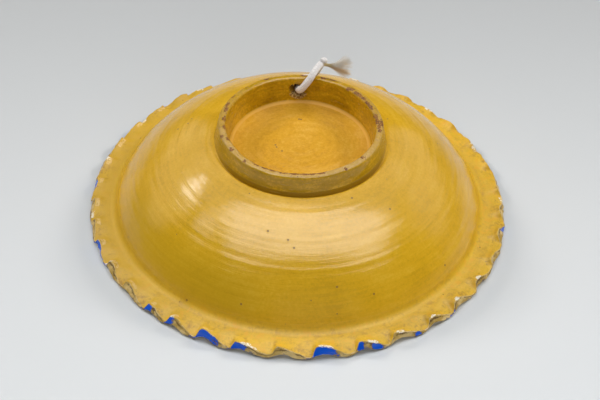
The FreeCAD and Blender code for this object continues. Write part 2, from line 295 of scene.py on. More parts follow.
CRIMP_COLUMNS = 24
COLUMNS = CRIMP_COLUMNS * len(CRIMP_STARTS)
RECESS_ROWS = 56
CREASE_ROWS = 4
DOME_ROWS = 112
THROAT_ROWS = 9
FLANGE_ROWS = 2
RELIEF_ROWS = 15
ROUND_ROWS = 5
SIDE_ROWS = 6
FACE_ROWS = 2 * ROUND_ROWS + SIDE_ROWS
ARCH_ROWS = 8
FLAT_ROWS = 7
LIP_ROWS = 7
WELL_ROWS = 46
WELL_TURN_ROWS = 12
WELL_FLOOR_ROWS = 26

# One crimp, in shares of its width
CRIMP_SEED = 11
CRIMP_SIZES = (0.8, 1.14)
CRIMP_MIDDLE = 0.35
CRIMP_RISE = (-0.07, 0.07)
CRIMP_FALL = (0.20, 0.88)
SWELL_PEAK = 0.2
SWELL_WIDTH = 0.27

# Relief: seed, wavelength and height of each noise
TOP_RIPPLE = ((21, 45.0, 0.25), (23, 9.0, 0.18))
REACH_RIPPLE = ((22, 14.0, 0.35),)
LOW_RIPPLE = ((24, 18.0, 0.3),)
DOME_RIPPLE = ((32, 34.0, 0.06),)
RECESS_RIPPLE = ((33, 18.0, 0.05),)
WELL_RIPPLE = ((35, 40.0, 0.1),)
FLANGE_RIPPLE = ((36, 30.0, 0.16), (37, 8.0, 0.07))
EDGE_RIPPLE = ((38, 5.0, 0.16),)

# Finger rings: seed and size of each set, and what every set shares
DOME_RINGS = (31, 0.0033)
WELL_RINGS = (34, 0.004)
RING_LENGTHS = (2.3, 3.0, 3.8, 4.7, 5.9, 7.6, 10.0)
RING_DRIFTS = (-1, 2)
RING_SPREAD = (0.9, 1.1)
RING_STRENGTHS = (0.6, 1.2)
SPIRAL_PITCH = 7.5
SPIRAL_HEIGHT = 0.035

# Radii between which each kind of relief comes in or goes out
DOME_RELIEF = ((65.0, 68.0), (138.0, 144.0))
RECESS_RELIEF = ((2.0, 6.0), (46.0, 51.0))
WELL_RELIEF = (4.0, 12.0)
FLANGE_RELIEF = (139.0, 145.0)
EDGE_RELIEF = (150.0, 156.0)
GROOVE_END = (64.6, 66.3)
GROOVE_LEAST = 0.1

# Sides of the dish: angle from the front, and the cosines between which each fades
FRONT_SIDE = (0.0, (0.1, 0.75))
GLINT_SIDE = (-80.0, (0.3, 0.8))
OLIVE_SIDE = (-115.0, (0.0, 0.8))
LEFT_SHADE_SIDE = (-48.0, (0.76, 0.94))

# Finishes, painted shade and painted highlights: rows past the edge's face, levels on the face from 0 to
# 1, and radii
FACE_START = (-1, 3)
FACE_END = (1, 5)
HIDDEN_START = (0, 3)
FLANGE_OVERLAP = 3
LEVEL_LIMITS = (-0.4, 1.4)
BLUE_LEVELS = ((-0.02, 0.34), (0.65, 1.1))
WHITE_LEVELS = ((-0.28, 0.0), (0.06, 0.36))
PATCH_CORE = 0.2
PATCH_REACH = 1.8
POOL_SHADE_END = (65.2, 65.9)
FLANGE_START = (135.5, 140.5)
WORN_START = (146.0, 157.0)
LEFT_SHADE_START = (108.0, 128.0)
GLINT_START = (150.0, 152.5)
GLINT_CRESTS = (0.55, 0.95)
GLINT_LEAST = 0.2


def crimp_shapes(angles):
    """The rise of each crest, steep on one side, and the softer swell under it, at these angles."""
    starts = np.array(CRIMP_STARTS)
    pitches = np.diff(np.append(starts, starts[0] + CIRCLE))
    sizes = np.random.default_rng(CRIMP_SEED).uniform(*CRIMP_SIZES, len(starts))
    crest = np.zeros_like(angles)
    swell = np.zeros_like(angles)
    for start, pitch, size in zip(starts, pitches, sizes):
        along = angle_gap(angles, start + CRIMP_MIDDLE * pitch) / pitch + CRIMP_MIDDLE
        crest = np.maximum(crest, size * band(along, CRIMP_RISE, CRIMP_FALL))
        swell = np.maximum(swell, size * np.exp(-((along - SWELL_PEAK) / SWELL_WIDTH) ** 2))
    return crest, swell


def bowl_profile():
    """Rows from the middle of the recess to the flange, and rows from under the flange to the well."""
    recess_border = (RECESS_RADIUS, RECESS_FLOOR)
    upper = np.vstack((
        line((MIDDLE_RADIUS, RECESS_FLOOR), recess_border, RECESS_ROWS),
        line(recess_border, CREASE, CREASE_ROWS),
        arc(DOME_CENTRE, DOME_RADIUS, *DOME_ANGLES, DOME_ROWS)[1:],
        arc(THROAT_CENTRE, THROAT_RADIUS, *THROAT_ANGLES, THROAT_ROWS)[1:],
        line((THROAT_CENTRE[0], FLANGE_HEIGHT), (FLANGE_END, FLANGE_HEIGHT), FLANGE_ROWS),
    ))
    lower = np.vstack((
        line((FLAT_REACH, 0.0), (LIP_CENTRE[0], 0.0), FLAT_ROWS),
        arc(LIP_CENTRE, LIP_RADIUS, *LIP_ANGLES, LIP_ROWS)[1:],
        arc(DOME_CENTRE, WELL_RADIUS, *WELL_ANGLES, WELL_ROWS)[1:],
        arc(WELL_TURN_CENTRE, WELL_TURN_RADIUS, *WELL_TURN_ANGLES, WELL_TURN_ROWS)[1:],
        line((WELL_TURN_CENTRE[0], WELL_FLOOR), (MIDDLE_RADIUS, WELL_FLOOR), WELL_FLOOR_ROWS),
    ))
    return upper, lower


def edge_rows(crest, swell, place):
    """The crimped edge for each column: relief, face with its two rounds, and arch."""
    top = TONGUE_HEIGHT + (CREST_HEIGHT - TONGUE_HEIGHT) * crest + ripple(place, TOP_RIPPLE)
    reach = RIM_RADIUS - TOP_INSET - CREST_INSET * crest + ripple(place, REACH_RIPPLE)
    low = ARCH_HEIGHT * swell + TONGUE_GAP
    low_reach = RIM_RADIUS - LOW_INSET - ARCH_INSET * swell + ripple(place, LOW_RIPPLE)
    rows = []
    for step in range(1, RELIEF_ROWS):
        share = step / RELIEF_ROWS
        bend = share ** (TONGUE_BEND + CREST_BEND * crest)
        rows.append((
            FLANGE_END + (reach - TOP_ROUND - FLANGE_END) * share,
            FLANGE_HEIGHT + (top - FLANGE_HEIGHT) * bend,
        ))
    for turn in np.linspace(math.pi / 2, 0.0, ROUND_ROWS):
        rows.append((
            reach + TOP_ROUND * (math.cos(turn) - 1.0),
            top + TOP_ROUND * (math.sin(turn) - 1.0),
        ))
    for step in range(1, SIDE_ROWS + 1):
        share = step / (SIDE_ROWS + 1)
        rows.append((
            reach + (low_reach - reach) * share,
            top - TOP_ROUND + (low + LOW_ROUND - top + TOP_ROUND) * share,
        ))
    for turn in np.linspace(0.0, -math.pi / 2, ROUND_ROWS):
        rows.append((
            low_reach + LOW_ROUND * (math.cos(turn) - 1.0),
            low + LOW_ROUND * (math.sin(turn) + 1.0),
        ))
    for step in range(1, ARCH_ROWS):
        share = step / ARCH_ROWS
        rows.append((
            low_reach - LOW_ROUND + (FLAT_REACH - low_reach + LOW_ROUND) * share,
            low * (1.0 - share) ** ARCH_BEND,
        ))
    return np.stack([np.column_stack(row) for row in rows], axis=1)


def throwing_rings(length, turn, seed, size):
    """Grooves left by the potter's fingers, along a profile's length, drifting slowly as they go round."""
    draw = np.random.default_rng(seed)
    total = np.zeros(np.broadcast(length, turn).shape)
    for wavelength in RING_LENGTHS:
        drift = draw.integers(*RING_DRIFTS)
        phase = FULL_TURN * length / (wavelength * draw.uniform(*RING_SPREAD)) + drift * turn
        strength = size * wavelength * draw.uniform(*RING_STRENGTHS)
        total = total + strength * np.sin(phase + draw.uniform(0, FULL_TURN))
    return total


def bowl_parts(radius, edge_first):
    """Each row's number, and which points lie in the recess and which on the dome and flange."""
    index = np.arange(radius.shape[1])
    is_top = index < edge_first
    return index, is_top & (radius < RECESS_BORDER), is_top & (radius >= CREASE[0])


def bowl_relief(profile, turn, edge_first, edge_last):
    """The thrown profiles with finger rings, lumps, the crease's groove and a rough edge."""
    around = turn[:, None]
    radius = profile[..., 0]
    index, is_recess, is_dome = bowl_parts(radius, edge_first)
    run = np.linalg.norm(np.diff(profile[0], axis=0), axis=1)
    length = np.concatenate(([0.0], np.cumsum(run)))
    place = spun(profile, turn)
    on_well = (index >= edge_last + FLAT_ROWS) * smooth(radius, *WELL_RELIEF)
    spiral = SPIRAL_HEIGHT * np.sin(FULL_TURN * radius / SPIRAL_PITCH - around)
    moved = throwing_rings(length, around, *DOME_RINGS) + ripple(place, DOME_RIPPLE)
    moved *= is_dome * band(radius, *DOME_RELIEF)
    moved += (spiral + ripple(place, RECESS_RIPPLE)) * is_recess * band(radius, *RECESS_RELIEF)
    moved -= (throwing_rings(length, around, *WELL_RINGS) + ripple(place, WELL_RIPPLE)) * on_well
    rough = offset_along_normal(profile, moved)
    groove = GROOVE_DEPTH * (GROOVE_LEAST + (1.0 - GROOVE_LEAST) * facing(around, *FRONT_SIDE))
    rough[..., 1] -= groove * is_dome * (1.0 - smooth(radius, *GROOVE_END))
    on_flange = (index < edge_first + RELIEF_ROWS) * smooth(radius, *FLANGE_RELIEF)
    on_edge = (index >= edge_first) & (index < edge_last)
    rough[..., 1] += ripple(place, FLANGE_RIPPLE) * on_flange
    rough[..., 0] += ripple(place, EDGE_RIPPLE) * on_edge * smooth(radius, *EDGE_RELIEF)
    rough[..., 0] = np.minimum(rough[..., 0], RIM_RADIUS)
    rough[..., 1] = np.where(index >= edge_first, np.maximum(rough[..., 1], 0.0), rough[..., 1])
    return rough


def patches_at(degrees, patches):
    """The strength of painted patches at these angles round the rim, for each column."""
    amount = np.zeros_like(degrees)
    for centre, half, strength in patches:
        gap = np.abs(angle_gap(degrees, centre))
        amount = np.maximum(amount, strength * (1.0 - smooth(gap, PATCH_CORE * half, PATCH_REACH * half)))
    return amount[:, None]


def bowl_layers(radius, turn, crest, edge_first):
    """Numbers at the shell's points that tell its material where each finish, painted shade and painted
    highlight lies.
    """
    around = turn[:, None]
    degrees = np.degrees(turn)
    index, is_recess, is_dome = bowl_parts(radius, edge_first)
    face_first = edge_first + RELIEF_ROWS - 1
    face_last = face_first + FACE_ROWS
    is_upper = index < face_first + FLANGE_OVERLAP
    level = np.clip((index - face_first) / (FACE_ROWS - 1), *LEVEL_LIMITS)
    on_face = band(index, np.add(face_first, FACE_START), np.add(face_last, FACE_END))
    # Painted highlight: pale glints on the crests, strongest on the left side
    leftward = GLINT_LEAST + (1.0 - GLINT_LEAST) * facing(around, *GLINT_SIDE)
    glint_on_crests = smooth(crest, *GLINT_CRESTS)[:, None] * leftward
    return {
        "edge": on_face,
        "level": level,
        # Painted shade in the crease under the foot ring, strongest at the front, with pooled amber glaze
        "pool_and_shade": facing(around, *FRONT_SIDE) * is_dome * (1.0 - smooth(radius, *POOL_SHADE_END)),
        "blue": patches_at(degrees, BLUE_PATCHES) * band(level, *BLUE_LEVELS) * on_face,
        "white": patches_at(degrees, WHITE_PATCHES) * band(level, *WHITE_LEVELS),
        "hidden": smooth(index, *np.add(face_last, HIDDEN_START)),
        "recess": is_recess,
        "flange": smooth(radius, *FLANGE_START) * is_upper,
        "worn": smooth(radius, *WORN_START) * is_upper,
        "olive": facing(around, *OLIVE_SIDE),
        # Painted shade: the lower left of the dome darker and greener, partly the glaze's own colour
        "left_olive_and_shade": facing(around, *LEFT_SHADE_SIDE) * is_dome * smooth(radius, *LEFT_SHADE_START),
        "crest_glint": glint_on_crests * smooth(radius, *GLINT_START) * (index < face_first),
    }


def build_bowl():
    """The shell, as a grid of columns round the axis that closes at the middle on both faces."""
    turn = np.arange(COLUMNS) * (FULL_TURN / COLUMNS)
    crest, swell = crimp_shapes(np.degrees(turn))
    rim = RIM_RADIUS * np.column_stack((np.sin(turn), -np.cos(turn), np.zeros(COLUMNS)))
    upper, lower = bowl_profile()
    edge = edge_rows(crest, swell, rim)
    profile = np.concatenate((
        np.broadcast_to(upper, (COLUMNS, *upper.shape)),
        edge,
        np.broadcast_to(lower, (COLUMNS, *lower.shape)),
    ), axis=1)
    edge_first = len(upper)
    rough = bowl_relief(profile, turn, edge_first, edge_first + edge.shape[1])
    points = spun(rough, turn)
    rows = points.shape[1]
    faces = grid_faces(COLUMNS, rows)
    middle = COLUMNS * rows
    for column in range(COLUMNS):
        after = (column + 1) % COLUMNS
        faces.append((middle, column * rows, after * rows))
        faces.append((middle + 1, after * rows + rows - 1, column * rows + rows - 1))
    middles = [(0.0, 0.0, points[:, row, 2].mean()) for row in (0, -1)]
    flat = np.vstack((points.reshape(-1, 3), middles))
    bowl = make_mesh("bowl_shell", flat, [tuple(reversed(face)) for face in faces])
    for name, values in bowl_layers(profile[..., 0], turn, crest, edge_first).items():
        values = np.broadcast_to(values, (COLUMNS, rows))
        paint(bowl, name, np.append(values.ravel(), (values[0, 0], values[0, -1])))
    return bowl


# Foot ring: columns and rows of its grid

FOOT_COLUMNS = 480
FILLET_ROWS = 4
OUTER_ROWS = 13
TURN_ROWS = 8
TOP_ROWS = 4
INNER_ROWS = 21
CORNER_ROWS = 8
CORNER_END_ROWS = 2
SEAT_ROWS = 5

# Foot ring relief, in millimetres: seed, wavelength and height of each noise, and other sizes
WALL_RIPPLE = ((51, 30.0, 0.16), (52, 9.0, 0.07))
BURR_RIPPLE = ((53, 3.2, 0.7),)
CHIP_RIPPLE = ((54, 2.6, 0.2),)
TOP_SWAY = ((55, 70.0, 0.10), (57, 6.0, 0.05))
STREAK_DRIFT = ((56, 60.0, 1.5),)
STREAK_HEIGHT = 0.07
STREAK_RATE = 2.1
BURR_DROP = 3.0
BURR_RADIUS = 4.0
BURR_WIDTH = 2.4
CHIP_WIDTH = 1.5
CHIP_DEPTH = 0.3
CHIP_DEEPEST = 0.8
TOP_SINK = 0.2

# Foot ring finishes and painted shade: heights, radii and distances from the hole between which each fades
FREE_HEIGHTS = (66.0, 69.5)
CHIP_HEIGHTS = (76.1, 78.1)
WORN_HEIGHTS = (77.7, 78.8)
WORN_BACK = 0.45
INNER_SIDE = 57.0
HOLE_SIDE = 40.0
HOLE_WALL = 62.0
HOLE_STAIN_SHADE_GAPS = (4.4, 7.5)
RUBBLE_GAPS = (6.0, 10.5)
RUBBLE_DROPS = (1.5, 4.0)
INSIDE_RADII = (55.5, 57.0)
POOL_SHADE_HEIGHTS = (66.3, 67.3)
POOL_SHADE_RADII = (59.0, 60.5)
CORNER_HEIGHTS = (59.0, 60.6)

# The hole: its sides, how flat it is, and its place along the axis and radius at each station
HOLE_SIDES = 36
HOLE_FLATNESS = 0.86
HOLE_RIPPLE = ((41, 9.0, 0.09),)
HOLE_STATIONS = (
    (44.0, 8.2), (50.0, 7.2), (53.0, 6.2), (54.2, 5.6), (55.4, 4.9), (57.0, 4.3),
    (59.0, 3.9), (61.0, 3.8), (63.0, 3.8), (65.0, 4.0), (70.0, 4.4),
)


def foot_profile():
    """Closed rows of the ring: fillet on the dome, outer wall, face, inner wall and seat."""
    shoulder = FOOT_TOP - FOOT_ROUND
    outer_turn = (FOOT_OUTER - FOOT_ROUND, shoulder)
    inner_turn = (FOOT_INNER + FOOT_ROUND, shoulder)
    corner_turn = (INNER_FOOT - CORNER_ROUND, RECESS_FLOOR + CORNER_ROUND)
    return np.vstack((
        line(WALL_FOOT, WALL_BEND, FILLET_ROWS),
        line(WALL_BEND, (FOOT_OUTER, shoulder), OUTER_ROWS)[:-1],
        arc(outer_turn, FOOT_ROUND, *OUTER_TURN_ANGLES, TURN_ROWS),
        line((outer_turn[0], FOOT_TOP), (inner_turn[0], FOOT_TOP), TOP_ROWS),
        arc(inner_turn, FOOT_ROUND, *INNER_TURN_ANGLES, TURN_ROWS)[1:],
        line((FOOT_INNER, shoulder), (INNER_FOOT, corner_turn[1]), INNER_ROWS),
        arc(corner_turn, CORNER_ROUND, *CORNER_ANGLES, CORNER_ROWS),
        line((CORNER_FOOT, RECESS_FLOOR), SEAT_INNER, CORNER_END_ROWS),
        line(SEAT_INNER, SEAT_OUTER, SEAT_ROWS),
    ))


def chip_amount(degrees, radius, height):
    """How far the glaze is worn off the ring's face at a point."""
    amount = np.zeros_like(degrees)
    for centre, at, half in CHIPS:
        across = (radius - at) / CHIP_WIDTH
        along = np.radians(angle_gap(degrees, centre)) * at / half
        amount = np.maximum(amount, np.exp(-(across ** 2 + along ** 2)))
    return amount * smooth(height, *CHIP_HEIGHTS)


def hole_cutter():
    """The rough hole that the cord goes through, wider where it was pierced from the inside."""
    turn = np.arange(HOLE_SIDES) * (FULL_TURN / HOLE_SIDES)
    rings = []
    for station, size in HOLE_STATIONS:
        ring = np.column_stack((
            np.cos(turn) * size,
            np.full(HOLE_SIDES, station),
            np.sin(turn) * size * HOLE_FLATNESS,
        ))
        ring[:, ::2] *= (1.0 + ripple(ring, HOLE_RIPPLE))[:, None]
        ring[:, 2] += HOLE_HEIGHT
        rings.append(ring)
    rows = len(rings)
    faces = grid_faces(HOLE_SIDES, rows) + end_faces(HOLE_SIDES, rows)
    return make_mesh("hole_cutter", np.stack(rings, axis=1).reshape(-1, 3), faces)


def pierce(ring):
    """Cuts the cord's hole through the ring."""
    cutter = hole_cutter()
    cut = ring.modifiers.new("hole", "BOOLEAN")
    cut.operation = "DIFFERENCE"
    cut.solver = "EXACT"
    cut.object = cutter
    bpy.context.view_layer.update()
    solid = ring.evaluated_get(bpy.context.evaluated_depsgraph_get())
    pierced = bpy.data.meshes.new_from_object(solid)
    ring.modifiers.clear()
    ring.data = pierced
    bpy.data.objects.remove(cutter)


def paint_foot(ring):
    """Numbers at the ring's points that tell its material where each finish and painted shade lies."""
    across, along, height = points_of(ring).T
    radius = np.hypot(across, along)
    turn = np.arctan2(across, -along)
    gap = np.hypot(across, height - HOLE_HEIGHT)
    is_inner = radius < INNER_SIDE
    near_hole = (along > HOLE_SIDE) & (radius < HOLE_WALL)
    forward = WORN_BACK + (1.0 - WORN_BACK) * (1.0 + np.cos(turn)) / 2
    below = smooth(HOLE_HEIGHT - height, *RUBBLE_DROPS)
    # Painted shade in the crease at the ring's foot, strongest at the front, with pooled amber glaze
    pool_and_shade = (1.0 - smooth(height, *POOL_SHADE_HEIGHTS)) * smooth(radius, *POOL_SHADE_RADII)
    paint(ring, "chip", chip_amount(np.degrees(turn), radius, height))
    paint(ring, "face", smooth(height, *WORN_HEIGHTS) * forward)
    # Painted shade with brown stain round the hole
    paint(ring, "burr", (1.0 - smooth(gap, *HOLE_STAIN_SHADE_GAPS)) * near_hole)
    paint(ring, "rubble", (1.0 - smooth(gap, *RUBBLE_GAPS)) * below * near_hole * is_inner)
    paint(ring, "inside", 1.0 - smooth(radius, *INSIDE_RADII))
    paint(ring, "pool_and_shade", pool_and_shade * facing(turn, *FRONT_SIDE))
    paint(ring, "corner", (1.0 - smooth(height, *CORNER_HEIGHTS)) * is_inner)


def build_foot():
    """The ring, as a closed grid of columns round the axis, pierced on the far side."""
    profile = foot_profile()
    turn = np.arange(FOOT_COLUMNS) * (FULL_TURN / FOOT_COLUMNS)
    place = spun(np.broadcast_to(profile, (FOOT_COLUMNS, *profile.shape)), turn)
    radius, height = profile.T
    is_inner = radius < INNER_SIDE
    free = smooth(height, *FREE_HEIGHTS)
    outward = place * np.array((1, 1, 0)) / radius[:, None]
    streaks = STREAK_HEIGHT * np.sin(height * STREAK_RATE + ripple(place, STREAK_DRIFT)) * is_inner
    gap = np.hypot(place[..., 0], place[..., 2] - HOLE_HEIGHT + BURR_DROP)
    burr = np.exp(-((gap - BURR_RADIUS) / BURR_WIDTH) ** 2) * (place[..., 1] > HOLE_SIDE) * is_inner
    lumps = (ripple(place, WALL_RIPPLE) + streaks) * free - burr * np.abs(ripple(place, BURR_RIPPLE))
    moved = place + outward * lumps[..., None]
    depth = (CHIP_DEPTH + ripple(place, CHIP_RIPPLE)).clip(0.0, CHIP_DEEPEST)
    moved[..., 2] -= chip_amount(np.degrees(turn)[:, None], radius, height) * depth
    moved[..., 2] += (ripple(place, TOP_SWAY) - TOP_SINK) * free
    moved[..., 2] = np.minimum(moved[..., 2], FOOT_TOP)
    faces = grid_faces(FOOT_COLUMNS, len(profile), closed_rows=True)
    ring = make_mesh("foot_ring_glazed", moved.reshape(-1, 3), faces)
    pierce(ring)
    paint_foot(ring)
    return ring


# Strands of the cord and knot: sides, lobes, their depth and their twist

CORD_STRANDS = (88, 11, 0.13, 0.055)
WRAP_STRANDS = (40, 7, 0.14, 0.1)
CORE_STRANDS = (44, 9, 0.1, 0.08)
ROUTE_STEPS = 24
ROUTE_ORDER = 3
SIDE_HINT = (0.3, 0.5, 0.81)
LOBE_SHARPNESS = 4
CORD_SWELL = ((61, 11.0, 0.025),)
CORD_FUZZ = ((62, 1.6, 0.05),)
HOLE_REACH = ((50.6, 53.5), (58.0, 61.0))
CORD_HOLE_SHADE_HEIGHTS = (71.0, 73.0)

# Knot sizes in millimetres
WRAP_TURNS = 2.3
WRAP_START = 0.6
WRAP_REACH = 1.5
WRAP_LENGTH = 3.2
WRAP_RADIUS = 1.05
WRAP_TIP = 0.35
WRAP_TAPER = 6.0
WRAP_POINTS = 120
CORE_ENDS = (-3.3, 3.0)
CORE_HALF = 3.5
CORE_RADIUS = 2.3
CORE_TIP = 0.02
CORE_POINTS = 40

# Frayed end: sizes in millimetres, and shares along a fibre
FRAY_SEED = 71
TUFT_FIBRES = 260
TUFT_REACH = 15.6
REACH_SPREAD = (0.7, 1.04)
TUFT_MIDDLE = 0.16
TUFT_SPREAD = 0.15
TUFT_LIMITS = (-0.12, 0.5)
TUFT_SCATTER = 0.09
NECK_RADIUS = 1.35
WAIST_BACK = 2.2
WAIST_SHARE = 0.55
BEND_ALONG = 2.2
BEND_SHARE = 0.9
BEND_REACH = 2.0
TIP_ALONG = 1.5
TIP_SHARE = 0.8
FIBRE_POINTS = 14
FIBRE_SIDES = 5
FIBRE_SIZES = (0.08, 0.15)
FIBRE_TAPER = 0.5
FIBRE_WAVES = (4.0, 9.0)
FIBRE_SWAY = 0.3
ROOT_END = (0.3, 0.62)
FRAY_MARGIN = 1.5


def route_points():
    """Points of the cord's smooth line, read from its spline, in millimetres."""
    curve = bpy.data.curves.new("cord_route", "CURVE")
    curve.dimensions = "3D"
    curve.resolution_u = ROUTE_STEPS
    spline = curve.splines.new("NURBS")
    spline.points.add(len(CORD_ROUTE) - 1)
    for point, place in zip(spline.points, CORD_ROUTE):
        point.co = (*place, 1.0)
    spline.order_u = ROUTE_ORDER
    spline.use_endpoint_u = True
    holder = bpy.data.objects.new("cord_route", curve)
    bpy.context.scene.collection.objects.link(holder)
    bpy.context.view_layer.update()
    mesh = bpy.data.meshes.new_from_object(holder.evaluated_get(bpy.context.evaluated_depsgraph_get()))
    places = np.array([vertex.co[:] for vertex in mesh.vertices]) / MM
    bpy.data.objects.remove(holder)
    bpy.data.curves.remove(curve)
    bpy.data.meshes.remove(mesh)
    return places


def frames_along(path):
    """Two directions across a path at each of its points, carried along without twist."""
    along = np.gradient(path, axis=0)
    along /= np.linalg.norm(along, axis=1, keepdims=True)
    side = np.cross(along[0], SIDE_HINT)
    sides = []
    for direction in along:
        side = unit(side - direction * (side @ direction))
        sides.append(side)
    sides = np.array(sides)
    return sides, np.cross(along, sides)


def swept(path, radii, sides, lobes=0, depth=0.0, twist=0.0):
    """Points and faces of a closed tube along a path, with twisted strands as lobes."""
    first, second = frames_along(path)
    turn = np.arange(sides)[:, None] * (FULL_TURN / sides)
    run = np.concatenate(([0.0], np.cumsum(np.linalg.norm(np.diff(path, axis=0), axis=1))))
    lobed = 1.0 - depth * np.abs(np.sin(lobes / 2 * (turn - twist * run))) ** LOBE_SHARPNESS
    size = np.asarray(radii) * lobed
    points = (
        path
        + first * (np.cos(turn) * size)[..., None]
        + second * (np.sin(turn) * size)[..., None]
    )
    rows = len(path)
    faces = [tuple(reversed(face)) for face in grid_faces(sides, rows)]
    return points.reshape(-1, 3), faces + end_faces(sides, rows)


def joined(parts):
    """One list of points and one of faces from several."""
    points = []
    faces = []
    count = 0
    for some_points, some_faces in parts:
        points.append(some_points)
        faces.extend(tuple(corner + count for corner in face) for face in some_faces)
        count += len(some_points)
    return np.vstack(points), faces


def build_cord(path):
    """The cord along its route, darkened with painted shade where it lies in the hole."""
    radii = CORD_DIAMETER / 2 * (1.0 + ripple(path, CORD_SWELL))
    points, faces = swept(path, radii, *CORD_STRANDS)
    points = points + ripple(points, CORD_FUZZ)[:, None] * unit(np.ones(3))
    cord = make_mesh("cotton_cord", points, faces)
    in_hole = band(points[:, 1], *HOLE_REACH)
    # Painted shade where the cord lies in the hole
    paint(cord, "cord_hole_shade", in_hole * (1.0 - smooth(points[:, 2], *CORD_HOLE_SHADE_HEIGHTS)))
    return cord


def build_knot():
    """Two wraps of the cord drawn tight round its own two legs."""
    axis = unit(KNOT_DIRECTION)
    side = unit(np.cross(axis, (0.0, 0.0, 1.0)))
    other = np.cross(axis, side)
    share = np.linspace(0.0, 1.0, WRAP_POINTS)[:, None]
    angle = share * WRAP_TURNS * FULL_TURN + WRAP_START
    wrap = (
        KNOT_CENTRE
        + axis * (share - 0.5) * WRAP_LENGTH
        + side * WRAP_REACH * np.cos(angle)
        + other * WRAP_REACH * np.sin(angle)
    )
    ends = np.minimum(1.0, WRAP_TIP + WRAP_TAPER * np.minimum(share, 1.0 - share))[:, 0]
    core_run = np.linspace(*CORE_ENDS, CORE_POINTS)
    core = KNOT_CENTRE + axis * core_run[:, None]
    core_size = CORE_RADIUS * np.sqrt(np.clip(1.0 - (core_run / CORE_HALF) ** 2, CORE_TIP, 1.0))
    points, faces = joined((
        swept(wrap, WRAP_RADIUS * ends, *WRAP_STRANDS),
        swept(core, core_size, *CORE_STRANDS),
    ))
    return make_mesh("cotton_knot", points, faces)


def build_fray():
    """The loose end: a narrow neck of fibres that fans out into two tufts."""
    draw = np.random.default_rng(FRAY_SEED)
    neck = unit(NECK_DIRECTION)
    neck_from = KNOT_CENTRE + NECK_ROOT
    waist = KNOT_CENTRE + neck * (NECK_LENGTH - WAIST_BACK)
    share = np.linspace(0.0, 1.0, FIBRE_POINTS)[:, None]
    rest = 1.0 - share
    strands = []
    tans = []
    roots = []
    for fibre in range(TUFT_FIBRES):
        lower = fibre % 2
        spread = np.clip(draw.normal(TUFT_MIDDLE, TUFT_SPREAD), *TUFT_LIMITS)
        between = 1.0 - spread if lower else spread
        aim = unit((1.0 - between) * unit(UPPER_TUFT) + between * unit(LOWER_TUFT))
        aim = unit(aim + TUFT_SCATTER * draw.normal(size=3))
        inside = unit(draw.normal(size=3)) * NECK_RADIUS * math.sqrt(draw.uniform(0.0, 1.0))
        reach = TUFT_REACH * draw.uniform(*REACH_SPREAD)
        bend = (
            (neck_from + inside) * rest ** 3
            + 3 * (waist + WAIST_SHARE * inside) * share * rest ** 2
            + 3 * (waist + neck * BEND_ALONG + BEND_SHARE * inside + aim * BEND_REACH) * share ** 2 * rest
            + (waist + neck * TIP_ALONG + TIP_SHARE * inside + aim * reach) * share ** 3
        )
        wave = np.sin(share * draw.uniform(*FIBRE_WAVES) + draw.uniform(0, FULL_TURN)) * share
        bend = bend + wave * unit(draw.normal(size=3)) * FIBRE_SWAY
        size = draw.uniform(*FIBRE_SIZES) * (1.0 - FIBRE_TAPER * share[:, 0])
        strands.append(swept(bend, size, FIBRE_SIDES))
        tans.append(np.full(FIBRE_POINTS * FIBRE_SIDES, float(lower)))
        roots.append(np.tile(1.0 - smooth(share[:, 0], *ROOT_END), FIBRE_SIDES))
    low, high = (np.array(corner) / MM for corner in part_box("frayed_end"))
    points, faces = joined(strands)
    fray = make_mesh("cotton_fray", np.clip(points, low - FRAY_MARGIN, high + FRAY_MARGIN), faces)
    paint(fray, "tan", np.concatenate(tans))
    paint(fray, "root", np.concatenate(roots))
    return fray


# Materials


